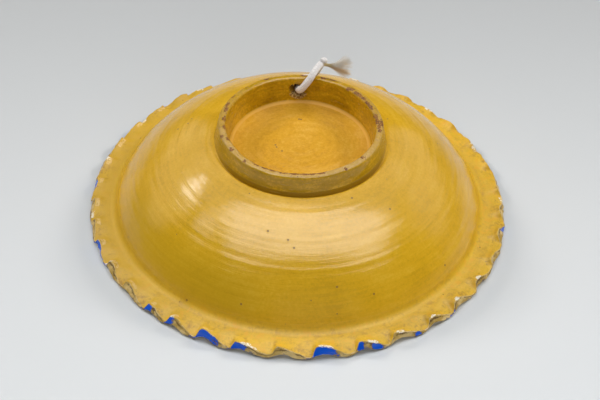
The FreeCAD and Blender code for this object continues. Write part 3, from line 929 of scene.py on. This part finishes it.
class Paint:
    """A material whose nodes are added by short calls."""

    def __init__(self, name):
        self.material = bpy.data.materials.new(name)
        self.material.use_nodes = True
        self.tree = self.material.node_tree
        self.shader = self.tree.nodes["Principled BSDF"]

    def put(self, socket, value):
        if isinstance(value, bpy.types.NodeSocket):
            self.tree.links.new(value, socket)
        elif socket.type == "RGBA":
            socket.default_value = (*value, 1.0)
        else:
            socket.default_value = value

    def node(self, kind, inputs, output=0, **settings):
        made = self.tree.nodes.new("ShaderNode" + kind)
        for name, value in settings.items():
            setattr(made, name, value)
        for key, value in inputs.items():
            self.put(made.inputs[key], value)
        return made.outputs[output]

    def math(self, operation, first, second):
        return self.node("Math", {0: first, 1: second}, operation=operation)

    def plus(self, first, second):
        return self.math("ADD", first, second)

    def times(self, first, second):
        return self.math("MULTIPLY", first, second)

    def larger(self, first, second):
        return self.math("MAXIMUM", first, second)

    def centred(self, noise):
        """Noise that runs from 0 to 1, moved to lie about 0."""
        return self.math("SUBTRACT", noise, 0.5)

    def step(self, value, low, high, first=0.0, last=1.0):
        ends = {"From Min": low, "From Max": high, "To Min": first, "To Max": last}
        return self.node("MapRange", {"Value": value, **ends}, interpolation_type="SMOOTHSTEP")

    def mix(self, share, first, second):
        return self.node("Mix", {0: share, 6: first, 7: second}, output=2, data_type="RGBA")

    def blend(self, share, first, second):
        return self.node("Mix", {0: share, 2: first, 3: second}, data_type="FLOAT")

    def noise(self, place, scale, detail, roughness):
        return self.node(
            "TexNoise", {"Vector": place, "Scale": scale, "Detail": detail, "Roughness": roughness})

    def attribute(self, name):
        return self.node("Attribute", {}, output=2, attribute_name=name)

    def place(self):
        return self.node("TexCoord", {}, output=3)

    def wheel_place(self, along, around):
        """Coordinates that follow the potter's wheel: fine across the rings, long round them."""
        flat = self.node("VectorMath", {0: self.place(), 1: (1.0, 1.0, 0.0)}, operation="MULTIPLY")
        radius = self.node("VectorMath", {0: flat}, output=1, operation="LENGTH")
        height = self.node("SeparateXYZ", {0: self.place()}, output=2)
        way = self.node("VectorMath", {0: flat}, operation="NORMALIZE")
        spread = self.node("VectorMath", {0: way, "Scale": around}, operation="SCALE")
        run = self.math("SUBTRACT", radius, height)
        lift = self.node("CombineXYZ", {"Z": self.times(run, along)})
        return self.node("VectorMath", {0: spread, 1: lift}, operation="ADD")

    def bump(self, height, strength, distance):
        return self.node("Bump", {"Height": height, "Strength": strength, "Distance": distance})

    def set(self, **inputs):
        for name, value in inputs.items():
            self.put(self.shader.inputs[name.replace("_", " ")], value)


HONEY = (0.68, 0.37, 0.012)
OLIVE = (0.56, 0.305, 0.007)
# Greener glaze with painted shade, for the lower left of the dome
OLIVE_AND_SHADE_LEFT = (0.46, 0.27, 0.008)
PALE_HONEY = (0.76, 0.44, 0.035)
FLANGE_HONEY = (0.65, 0.375, 0.005)
FLANGE_PALE = (0.74, 0.45, 0.03)
FLANGE_OLIVE = (0.53, 0.30, 0.003)
FLANGE_TAN = (0.46, 0.24, 0.012)
FLANGE_ORANGE = (0.70, 0.35, 0.004)
RECESS_HONEY = (0.67, 0.335, 0.022)
RECESS_BROWN = (0.55, 0.26, 0.014)
RECESS_PALE = (0.76, 0.42, 0.055)
# Pooled amber glaze with painted shade, for the crease under the foot ring
POOL_AMBER_AND_SHADE = (0.24, 0.11, 0.001)
SPECK_BROWN = (0.17, 0.065, 0.0)
STAIN_BROWN = (0.26, 0.10, 0.004)
# Painted highlight colour for pale glints on the crests
CREST_GLINT = (0.84, 0.60, 0.24)
CLAY = (0.42, 0.26, 0.045)
CLAY_PALE = (0.64, 0.45, 0.17)
CLAY_DARK = (0.075, 0.03, 0.004)
CLAY_WORN = (0.80, 0.62, 0.36)
BLUE_GLAZE = (0.0, 0.085, 0.58)
# Dark blue for flecks low on the edge's face: blue residue and painted shade
BLUE_FLECK_AND_SHADE = (0.02, 0.035, 0.16)
# White glaze, partly a painted highlight on the crest tops
WHITE_GLAZE_AND_GLINT = (0.86, 0.77, 0.60)
TIN_WHITE = (0.76, 0.73, 0.66)
TIN_CREAM = (0.70, 0.66, 0.56)
GLAZE_IOR = 1.45

# Glaze: wheel coordinates, and scale per metre, detail and roughness of each noise
WHEEL_RINGS = (260.0, 3.0)
WHEEL_STREAKS = (800.0, 16.0)
WHEEL_SCRATCHES = (900.0, 6.0)
RING_NOISE = (1.0, 3.0, 0.6)
STREAK_NOISE = (1.0, 3.0, 0.7)
CLOUD_NOISE = (30.0, 5.0, 0.65)
GLAZE_NOISE = (520.0, 3.0, 0.7)
RARE_NOISE = (31.0, 1.0, 0.5)
MOTTLE_NOISE = (130.0, 5.0, 0.7)
GRAIN_NOISE = (420.0, 4.0, 0.6)
FINE_NOISE = (700.0, 3.0, 0.6)
BLOTCH_NOISE = (130.0, 3.0, 0.6)
GAP_NOISE = (150.0, 3.0, 0.7)
FLECK_NOISE = (160.0, 3.0, 0.6)
BORDER_NOISE = (260.0, 4.0, 0.7)
TIN_NOISE = (40.0, 4.0, 0.5)

# Glaze: shares of the noises in its thickness, and soft steps from one value to another
RING_SHARE = 0.26
CLOUD_SHARE = 0.30
STREAK_SHARE = 0.14
GLAZE_SHARE = 0.30
THICK_STEP = (0.49, 0.60, 0.0, 0.85)
RIDGE_STEP = (0.50, 0.41, 0.0, 0.7)
GLOSS_STEP = (0.3, 0.7, 0.10, 0.20)
SPECK_CELLS = 95.0
CELL_STEP = (0.075, 0.035)
RARE_STEP = (0.52, 0.56)
SPECK_SIZE = 0.0011
SPECK_CORE = 0.45
SPECK_SHARE = 0.85
LEFT_SHADE_SHARE = 0.55
POOL_SHADE_SHARE = 0.9
TAN_STEP = (0.53, 0.66, 0.0, 0.6)
ORANGE_STEP = (0.47, 0.38, 0.0, 0.7)
OLIVE_SHARE = 0.7
STAIN_STEP = (0.50, 0.62)
STAIN_GRAIN = (0.46, 0.58)
STAIN_SHARE = 0.5
GLINT_STEP = (0.5, 0.75)
GLINT_FINE = (0.38, 0.52)
GLINT_SHARE = 0.6

# Bare clay and paint on the edge, with painted shade and painted highlights
CLAY_STEP = (0.42, 0.62)
CLAY_GRAIN = (0.62, 0.72)
BARE_WANDER = 0.7
BARE_STEP = (0.45, 0.62)
CRACK_WANDER = 0.9
CRACK_START = (0.20, 0.28)
CRACK_END = (0.44, 0.34)
CRACK_GAPS = (0.44, 0.56)
CRACK_SHARE = 0.85
CREST_END = (0.14, 0.06)
CREST_GRAIN = (0.46, 0.56)
CREST_SHARE = 0.8
FLECK_STEP = (0.56, 0.62)
FLECK_LEVEL = (0.45, 0.7)
FLECK_SHARE = 0.7
BORDER_WANDER = 2.2
BORDER_STEP = (0.02, 0.2)
BLUE_STEP = (0.40, 0.48)
OUTLINE_STEP = (0.26, 0.34)
OUTLINE_SHARE = 0.6
WHITE_STEP = (0.40, 0.5)
WHITE_FINE = (0.40, 0.52)
TIN_STEP = (0.35, 0.7)
CLAY_ROUGH = 0.62
FLANGE_ROUGH = 0.6
SPECK_ROUGH = 0.9
SCRATCH_RELIEF = 0.6
GRAIN_RELIEF = 0.4
GLAZE_BUMP = (0.45, 0.0004)


def honey_layers(tool, base, shade, light):
    """Honey glaze: mottled, thicker and darker in the grooves, less thick and paler on the ridges."""
    rings = tool.noise(tool.wheel_place(*WHEEL_RINGS), *RING_NOISE)
    streaks = tool.noise(tool.wheel_place(*WHEEL_STREAKS), *STREAK_NOISE)
    clouds = tool.noise(tool.place(), *CLOUD_NOISE)
    grain = tool.noise(tool.place(), *GLAZE_NOISE)
    thick = tool.plus(tool.times(rings, RING_SHARE), tool.times(clouds, CLOUD_SHARE))
    thick = tool.plus(thick, tool.times(streaks, STREAK_SHARE))
    thick = tool.plus(thick, tool.times(grain, GLAZE_SHARE))
    colour = tool.mix(tool.step(thick, *THICK_STEP), base, shade)
    colour = tool.mix(tool.step(thick, *RIDGE_STEP), colour, light)
    return colour, rings


def speck_mask(tool, spots):
    """1 on dark specks in the glaze at these places, and on a few small ones anywhere."""
    place = tool.place()
    cells = tool.node("TexVoronoi", {"Vector": place, "Scale": SPECK_CELLS})
    mask = tool.step(cells, *CELL_STEP)
    rare = tool.step(tool.noise(place, *RARE_NOISE), *RARE_STEP)
    mask = tool.times(mask, rare)
    for spot in spots:
        gap = tool.node("VectorMath", {0: place, 1: spot}, output=1, operation="DISTANCE")
        mask = tool.larger(mask, tool.step(gap, SPECK_SIZE, SPECK_SIZE * SPECK_CORE))
    return mask


def ragged_patch(tool, name, jitter):
    """A painted patch whose border wanders, and nothing away from it."""
    amount = tool.attribute(name)
    return tool.plus(amount, tool.times(jitter, tool.step(amount, *BORDER_STEP)))


def dome_point(degrees, radius):
    """A place on the dome, in metres."""
    height = DOME_CENTRE[1] + math.sqrt(DOME_RADIUS ** 2 - (radius - DOME_CENTRE[0]) ** 2)
    turn = math.radians(degrees)
    return (radius * math.sin(turn) * MM, -radius * math.cos(turn) * MM, height * MM)


def bowl_material():
    """Honey glaze with specks, a matte flange, and a worn edge with blue and white paint, with painted
    shade and painted highlights.
    """
    tool = Paint("honey_glaze_dish")
    place = tool.place()
    colour, rings = honey_layers(tool, HONEY, OLIVE, PALE_HONEY)
    recess, _ = honey_layers(tool, RECESS_HONEY, RECESS_BROWN, RECESS_PALE)
    # Painted shade: the lower left of the dome darker and greener, partly the glaze's own colour
    colour = tool.mix(tool.times(tool.attribute("left_olive_and_shade"), LEFT_SHADE_SHARE), colour, OLIVE_AND_SHADE_LEFT)
    colour = tool.mix(tool.attribute("recess"), colour, recess)
    # Painted shade in the crease under the foot ring, with pooled amber glaze
    colour = tool.mix(tool.times(tool.attribute("pool_and_shade"), POOL_SHADE_SHARE), colour, POOL_AMBER_AND_SHADE)
    flange, _ = honey_layers(tool, FLANGE_HONEY, FLANGE_OLIVE, FLANGE_PALE)
    mottle = tool.noise(place, *MOTTLE_NOISE)
    flange = tool.mix(tool.step(mottle, *TAN_STEP), flange, FLANGE_TAN)
    flange = tool.mix(tool.step(mottle, *ORANGE_STEP), flange, FLANGE_ORANGE)
    flange = tool.mix(tool.times(tool.attribute("olive"), OLIVE_SHARE), flange, FLANGE_OLIVE)
    colour = tool.mix(tool.attribute("flange"), colour, flange)
    spots = [dome_point(*spot) for spot in SPECKS]
    spots += [(x * MM, y * MM, RECESS_FLOOR * MM) for x, y in RECESS_SPECKS]
    specks = speck_mask(tool, spots)
    colour = tool.mix(tool.times(specks, SPECK_SHARE), colour, SPECK_BROWN)

    # Stains on the flange's border, and painted highlights on its crests
    grain = tool.noise(place, *GRAIN_NOISE)
    fine = tool.noise(place, *FINE_NOISE)
    blotch = tool.noise(place, *BLOTCH_NOISE)
    stain = tool.times(tool.step(blotch, *STAIN_STEP), tool.step(grain, *STAIN_GRAIN))
    stain = tool.times(stain, tool.attribute("worn"))
    colour = tool.mix(tool.times(stain, STAIN_SHARE), colour, STAIN_BROWN)
    # Painted highlight: pale glints on the crests, strongest on the left side
    crest_glint = tool.plus(tool.attribute("crest_glint"), tool.centred(grain))
    crest_glint = tool.times(tool.step(crest_glint, *GLINT_STEP), tool.step(fine, *GLINT_FINE))
    colour = tool.mix(tool.times(crest_glint, GLINT_SHARE), colour, CREST_GLINT)

    # Bare clay on the edge, with dark cracks and pale worn crests
    clay = tool.mix(tool.step(blotch, *CLAY_STEP), CLAY, CLAY_PALE)
    clay = tool.mix(tool.step(grain, *CLAY_GRAIN), clay, CLAY_DARK)
    ragged = tool.plus(tool.attribute("edge"), tool.times(tool.centred(blotch), BARE_WANDER))
    bare = tool.step(ragged, *BARE_STEP)
    colour = tool.mix(bare, colour, clay)
    level = tool.attribute("level")
    crack = tool.plus(level, tool.times(tool.centred(blotch), CRACK_WANDER))
    dark = tool.times(tool.step(crack, *CRACK_START), tool.step(crack, *CRACK_END))
    crest = tool.times(tool.step(crack, *CREST_END), tool.step(grain, *CREST_GRAIN))
    colour = tool.mix(tool.times(tool.times(crest, bare), CREST_SHARE), colour, CLAY_WORN)
    gaps = tool.step(tool.noise(place, *GAP_NOISE), *CRACK_GAPS)
    dark = tool.times(tool.times(dark, bare), gaps)
    colour = tool.mix(tool.times(dark, CRACK_SHARE), colour, CLAY_DARK)

    # Blue and white paint on the edge; the dark blue flecks carry painted shade, the white carries painted
    # highlights
    # Dark blue flecks low on the edge's face: blue residue and painted shade
    fleck = tool.step(tool.noise(place, *FLECK_NOISE), *FLECK_STEP)
    fleck = tool.times(fleck, tool.step(level, *FLECK_LEVEL))
    colour = tool.mix(tool.times(tool.times(fleck, bare), FLECK_SHARE), colour, BLUE_FLECK_AND_SHADE)
    jitter = tool.times(tool.centred(tool.noise(place, *BORDER_NOISE)), BORDER_WANDER)
    daub = ragged_patch(tool, "blue", jitter)
    blue = tool.step(daub, *BLUE_STEP)
    outline = tool.times(tool.step(daub, *OUTLINE_STEP), tool.attribute("edge"))
    # White glaze on the crest tops, partly painted highlight
    white = tool.step(ragged_patch(tool, "white", jitter), *WHITE_STEP)
    white = tool.times(white, tool.step(fine, *WHITE_FINE))
    colour = tool.mix(tool.times(outline, OUTLINE_SHARE), colour, CLAY_DARK)
    colour = tool.mix(blue, colour, BLUE_GLAZE)
    colour = tool.mix(white, colour, WHITE_GLAZE_AND_GLINT)

    # Tin glaze on the face that lies on the table, and the finish
    hidden = tool.attribute("hidden")
    tin = tool.mix(tool.step(tool.noise(place, *TIN_NOISE), *TIN_STEP), TIN_WHITE, TIN_CREAM)
    colour = tool.mix(hidden, colour, tin)
    rough = tool.step(rings, *GLOSS_STEP)
    unpainted = tool.times(bare, tool.math("SUBTRACT", 1.0, blue))
    rough = tool.blend(unpainted, rough, CLAY_ROUGH)
    rough = tool.blend(tool.attribute("flange"), rough, FLANGE_ROUGH)
    rough = tool.blend(specks, rough, SPECK_ROUGH)
    scratch = tool.noise(tool.wheel_place(*WHEEL_SCRATCHES), *RING_NOISE)
    relief = tool.plus(tool.times(scratch, SCRATCH_RELIEF), tool.times(grain, GRAIN_RELIEF))
    tool.set(Base_Color=colour, Roughness=rough, IOR=GLAZE_IOR, Normal=tool.bump(relief, *GLAZE_BUMP))
    return tool.material


# The ring's glaze colours are darker copies of the honey glaze: painted shade
FOOT_HONEY_SHADED = (0.44, 0.24, 0.002)
FOOT_OLIVE_SHADED = (0.36, 0.20, 0.001)
INNER_HONEY_SHADED = (0.45, 0.235, 0.002)
INNER_BROWN_SHADED = (0.29, 0.14, 0.001)
FOOT_CREAM = (0.45, 0.255, 0.04)
FOOT_PALE = (0.54, 0.34, 0.11)
CHIP_BROWN = (0.30, 0.115, 0.0)
CHIP_DARK = (0.11, 0.032, 0.0)

# Foot ring: noises, soft steps and shares
FOOT_GRAIN = (380.0, 4.0, 0.6)
FOOT_FINE = (900.0, 3.0, 0.6)
FOOT_BLOTCH = (150.0, 3.0, 0.6)
RUB_WANDER = 0.8
RUB_STEP = (0.45, 1.0, 0.0, 0.9)
CREAM_STEP = (0.42, 0.62)
CHIP_FLECKS = 1.6
CHIP_STEP = (1.60, 1.82)
STRAY_STEP = (0.58, 0.66)
STRAY_SHARE = 0.8
BROKEN_STEP = (0.42, 0.58)
HOLE_STAIN_SHADE_STEP = (0.30, 0.75)
HOLE_STAIN_SHADE_SHARE = 0.8
CRUMB_STEP = (0.45, 0.58)
RUBBLE_STEP = (0.45, 0.7)
RUBBLE_SHARE = 0.75
FOOT_GLOSS = (0.3, 0.7, 0.14, 0.28)
BARE_ROUGH = 0.75
FOOT_RELIEF = 0.5
FOOT_BUMP = (0.2, 0.0005)


def foot_material():
    """Honey glaze, darker on the walls with painted shade, rubbed and chipped on the face, with rough clay
    and painted shade at the hole.
    """
    tool = Paint("honey_glaze_foot")
    place = tool.place()
    # Painted shade: the ring's glaze is a darker copy of the dish's honey glaze, inside and out
    colour, rings = honey_layers(tool, FOOT_HONEY_SHADED, FOOT_OLIVE_SHADED, HONEY)
    inner, _ = honey_layers(tool, INNER_HONEY_SHADED, INNER_BROWN_SHADED, HONEY)
    colour = tool.mix(tool.attribute("inside"), colour, inner)
    grain = tool.noise(place, *FOOT_GRAIN)
    fine = tool.noise(place, *FOOT_FINE)
    uneven = tool.centred(tool.noise(place, *FOOT_BLOTCH))
    # Painted shade in the crease at the ring's foot, with pooled amber glaze
    colour = tool.mix(tool.times(tool.attribute("pool_and_shade"), POOL_SHADE_SHARE), colour, POOL_AMBER_AND_SHADE)
    worn = tool.plus(tool.attribute("face"), tool.times(uneven, RUB_WANDER))
    cream = tool.mix(tool.step(grain, *CREAM_STEP), FOOT_CREAM, FOOT_PALE)
    rubbed = tool.step(worn, *RUB_STEP)
    colour = tool.mix(rubbed, colour, cream)
    flecks = tool.plus(tool.times(fine, CHIP_FLECKS), grain)
    chip = tool.step(tool.plus(tool.attribute("chip"), flecks), *CHIP_STEP)
    stray = tool.times(tool.step(grain, *STRAY_STEP), tool.attribute("face"))
    chip = tool.larger(chip, tool.times(stray, STRAY_SHARE))
    broken = tool.mix(tool.step(fine, *BROKEN_STEP), CHIP_BROWN, CHIP_DARK)
    colour = tool.mix(chip, colour, broken)
    # Painted shade with brown stain round the hole
    hole_stain_and_shade = tool.step(tool.plus(tool.attribute("burr"), uneven), *HOLE_STAIN_SHADE_STEP)
    colour = tool.mix(tool.times(hole_stain_and_shade, HOLE_STAIN_SHADE_SHARE), colour, INNER_BROWN_SHADED)
    rubble = tool.mix(tool.step(fine, *CRUMB_STEP), CHIP_DARK, CLAY_PALE)
    rough_clay = tool.step(tool.plus(tool.attribute("rubble"), uneven), *RUBBLE_STEP)
    colour = tool.mix(tool.times(rough_clay, RUBBLE_SHARE), colour, rubble)
    colour = tool.mix(tool.attribute("corner"), colour, RECESS_HONEY)
    bare = tool.larger(tool.larger(chip, rough_clay), hole_stain_and_shade)
    bare = tool.larger(tool.larger(bare, rubbed), tool.attribute("corner"))
    rough = tool.blend(bare, tool.step(rings, *FOOT_GLOSS), BARE_ROUGH)
    relief = tool.plus(tool.times(rings, FOOT_RELIEF), tool.times(grain, FOOT_RELIEF))
    tool.set(Base_Color=colour, Roughness=rough, IOR=GLAZE_IOR, Normal=tool.bump(relief, *FOOT_BUMP))
    return tool.material


COTTON = (0.84, 0.80, 0.77)
COTTON_SHADE = (0.66, 0.59, 0.54)
# Painted shade colour for the cord inside the hole
COTTON_HOLE_SHADE = (0.07, 0.032, 0.004)
FRAY_PALE = (0.86, 0.81, 0.72)
FRAY_TAN = (0.80, 0.62, 0.38)
FRAY_ROOT = (0.50, 0.37, 0.16)

# Cotton: noises, soft steps and finish
COTTON_NOISE = (900.0, 4.0, 0.65)
TINGE_NOISE = (180.0, 2.0, 0.5)
COTTON_STEP = (0.35, 0.65)
TINGE_STEP = (0.5, 0.7, 0.0, 0.4)
COTTON_ROUGH = 0.9
COTTON_SHEEN = 0.05
COTTON_BUMP = (0.35, 0.0003)
FIBRE_NOISE = (500.0, 3.0, 0.6)
FIBRE_STEP = (0.45, 0.75, 0.0, 0.4)
FIBRE_ROUGH = 0.85
FIBRE_SHEEN = 0.3
FIBRE_BUMP = (0.2, 0.0002)
SHEEN_ROUGH = 0.5


def cotton_material():
    """White cotton strands, a little uneven, and darkened with painted shade in the hole."""
    tool = Paint("cotton_twist")
    place = tool.place()
    fibre = tool.noise(place, *COTTON_NOISE)
    tinge = tool.noise(place, *TINGE_NOISE)
    colour = tool.mix(tool.step(fibre, *COTTON_STEP), COTTON_SHADE, COTTON)
    colour = tool.mix(tool.step(tinge, *TINGE_STEP), colour, COTTON_SHADE)
    colour = tool.mix(tool.attribute("cord_hole_shade"), colour, COTTON_HOLE_SHADE)
    tool.set(Base_Color=colour, Roughness=COTTON_ROUGH, Sheen_Weight=COTTON_SHEEN)
    tool.set(Sheen_Roughness=SHEEN_ROUGH, Normal=tool.bump(fibre, *COTTON_BUMP))
    return tool.material


def fray_material():
    """Loose cotton fibres, tan in the lower tuft and darker at the root."""
    tool = Paint("cotton_fibres")
    fibre = tool.noise(tool.place(), *FIBRE_NOISE)
    colour = tool.mix(tool.attribute("tan"), FRAY_PALE, FRAY_TAN)
    colour = tool.mix(tool.step(fibre, *FIBRE_STEP), colour, FRAY_TAN)
    colour = tool.mix(tool.attribute("root"), colour, FRAY_ROOT)
    tool.set(Base_Color=colour, Roughness=FIBRE_ROUGH, Sheen_Weight=FIBRE_SHEEN)
    tool.set(Sheen_Roughness=SHEEN_ROUGH, Normal=tool.bump(fibre, *FIBRE_BUMP))
    return tool.material


# Floor, light and camera

FLOOR_NEAR = (0.735, 0.735, 0.73)
# Painted shade: the floor colour behind the dish
FLOOR_FAR_SHADE = (0.455, 0.455, 0.45)
FLOOR_DEPTHS = (-0.35, 0.5)
FLOOR_ROUGH = 0.9
FLOOR_IOR = 1.2
FLOOR_HALF = 4000.0


def floor_material():
    """Pale paper, greyer behind the dish with painted shade."""
    tool = Paint("studio_floor")
    depth = tool.node("SeparateXYZ", {0: tool.place()}, output=1)
    # Painted shade: the floor greys towards the back
    colour = tool.mix(tool.step(depth, *FLOOR_DEPTHS), FLOOR_NEAR, FLOOR_FAR_SHADE)
    tool.set(Base_Color=colour, Roughness=FLOOR_ROUGH, IOR=FLOOR_IOR)
    return tool.material


def build_floor():
    """A flat sheet that the dish lies on."""
    signs = ((-1, -1), (1, -1), (1, 1), (-1, 1))
    points = [(x * FLOOR_HALF, y * FLOOR_HALF, 0.0) for x, y in signs]
    floor = make_mesh("studio_floor", points, [(0, 1, 2, 3)])
    floor.data.materials.append(floor_material())


def lamp_place(turn, lift, distance):
    """A place seen from the dish at an angle from the front towards the right, and an angle up."""
    turn = math.radians(turn)
    lift = math.radians(lift)
    flat = distance * math.cos(lift)
    return (flat * math.sin(turn), -flat * math.cos(turn), distance * math.sin(lift))


def add_panel(name, place, size, power, colour, target, lights):
    """A rectangular lamp that faces down, or faces a target; places are in the photo's axes."""
    lamp = bpy.data.lights.new(name, "AREA")
    lamp.shape = "RECTANGLE"
    lamp.size = size[0]
    lamp.size_y = size[1]
    lamp.energy = power
    lamp.color = colour
    holder = bpy.data.objects.new(name, lamp)
    turn = Matrix.Rotation(PHOTO_TURN, 4, "Z")
    aimed = Matrix.Identity(4)
    if target is not None:
        aimed = (Vector(target) - Vector(place)).to_track_quat("-Z", "Y").to_matrix().to_4x4()
    holder.matrix_world = turn @ Matrix.Translation(place) @ aimed
    holder.visible_diffuse = lights != "gloss"
    holder.visible_glossy = lights != "colour"
    bpy.context.scene.collection.objects.link(holder)


WARM = (1.0, 0.985, 0.955)
COOL = (0.89, 0.945, 1.0)
WHITE = (1.0, 1.0, 1.0)
AIM = (0.0, 0.0, 0.03)

# Lamps: name, place, size, power, colour, what each faces, and whether it lights colour or gloss
LAMPS = (
    ("left_lamp", lamp_place(-118, 34, 2.6), (0.8, 0.40), 31.5, WARM, AIM, "colour"),
    ("right_lamp", lamp_place(118, 34, 2.6), (0.8, 0.40), 31.5, WARM, AIM, "colour"),
    ("top_lamp", (0.0, -0.08, 1.1), (1.2, 0.7), 7.7, COOL, None, "colour"),
    ("front_lamp", lamp_place(12, 22, 1.5), (1.2, 0.5), 5.6, COOL, AIM, "colour"),
    ("window_gloss", (0.13, -0.235, 1.0), (1.55, 0.67), 20.0, WHITE, None, "gloss"),
    ("window_left_gloss", (-0.92, -0.10, 1.0), (0.28, 0.22), 1.0, WHITE, None, "gloss"),
    ("ceiling_gloss", (0.0, 0.75, 1.6), (2.8, 1.6), 17.0, WHITE, None, "gloss"),
    ("left_gloss", lamp_place(-125, 28, 2.4), (2.4, 1.3), 9.0, WHITE, AIM, "gloss"),
    ("right_gloss", lamp_place(125, 28, 2.4), (2.4, 1.3), 9.0, WHITE, AIM, "gloss"),
    ("left_spot_gloss", lamp_place(-116, 44, 1.3), (0.22, 0.16), 1.7, WHITE, AIM, "gloss"),
)
WORLD_COLOUR = (0.80, 0.90, 1.0)
WORLD_STRENGTH = 0.05


def build_world():
    """A faint even light from all round."""
    world = bpy.data.worlds.new("studio")
    world.use_nodes = True
    back = world.node_tree.nodes["Background"]
    back.inputs["Color"].default_value = (*WORLD_COLOUR, 1.0)
    back.inputs["Strength"].default_value = WORLD_STRENGTH
    bpy.context.scene.world = world


FOCAL_LENGTH = 74.54
SENSOR_WIDTH = 36.0
CLIP_START = 0.01
ELEVATION = math.radians(42.3435)
DISTANCE = 0.960
TARGET = Vector((0.00143, 0.0, 0.00293))
ROLL = 0.03837


def build_camera():
    """The camera that took the photo, fitted to the rim and the foot ring."""
    data = bpy.data.cameras.new("photo_camera")
    data.lens = FOCAL_LENGTH
    data.sensor_width = SENSOR_WIDTH
    data.clip_start = CLIP_START
    back = Vector((0.0, -math.cos(ELEVATION), math.sin(ELEVATION)))
    right = Vector((1.0, 0.0, 0.0))
    up = back.cross(right)
    turned_right = math.cos(ROLL) * right + math.sin(ROLL) * up
    turned_up = -math.sin(ROLL) * right + math.cos(ROLL) * up
    axes = Matrix((turned_right, turned_up, back)).transposed().to_4x4()
    camera = bpy.data.objects.new("photo_camera", data)
    turn = Matrix.Rotation(PHOTO_TURN, 4, "Z")
    camera.matrix_world = turn @ Matrix.Translation(TARGET + back * DISTANCE) @ axes
    bpy.context.scene.collection.objects.link(camera)
    bpy.context.scene.camera = camera


def dress(piece, body, node, material):
    """Gives a piece its material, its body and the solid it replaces."""
    piece.data.materials.clear()
    piece.data.materials.append(material)
    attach(piece, body)
    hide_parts(node)


build_camera()
cord_path = route_points()
cord = build_cord(cord_path)
knot = build_knot()
fray = build_fray()
cotton = cotton_material()
dress(cord, "hanging_loop", "hanging_cord", cotton)
dress(knot, "hanging_loop", "cord_knot", cotton)
dress(fray, "hanging_loop", "frayed_end", fray_material())
dress(build_bowl(), "dish", "bowl", bowl_material())
dress(build_foot(), "dish", "foot_ring", foot_material())

build_floor()
build_world()
for lamp in LAMPS:
    add_panel(*lamp)
bpy.context.scene.view_settings.view_transform = "Standard"
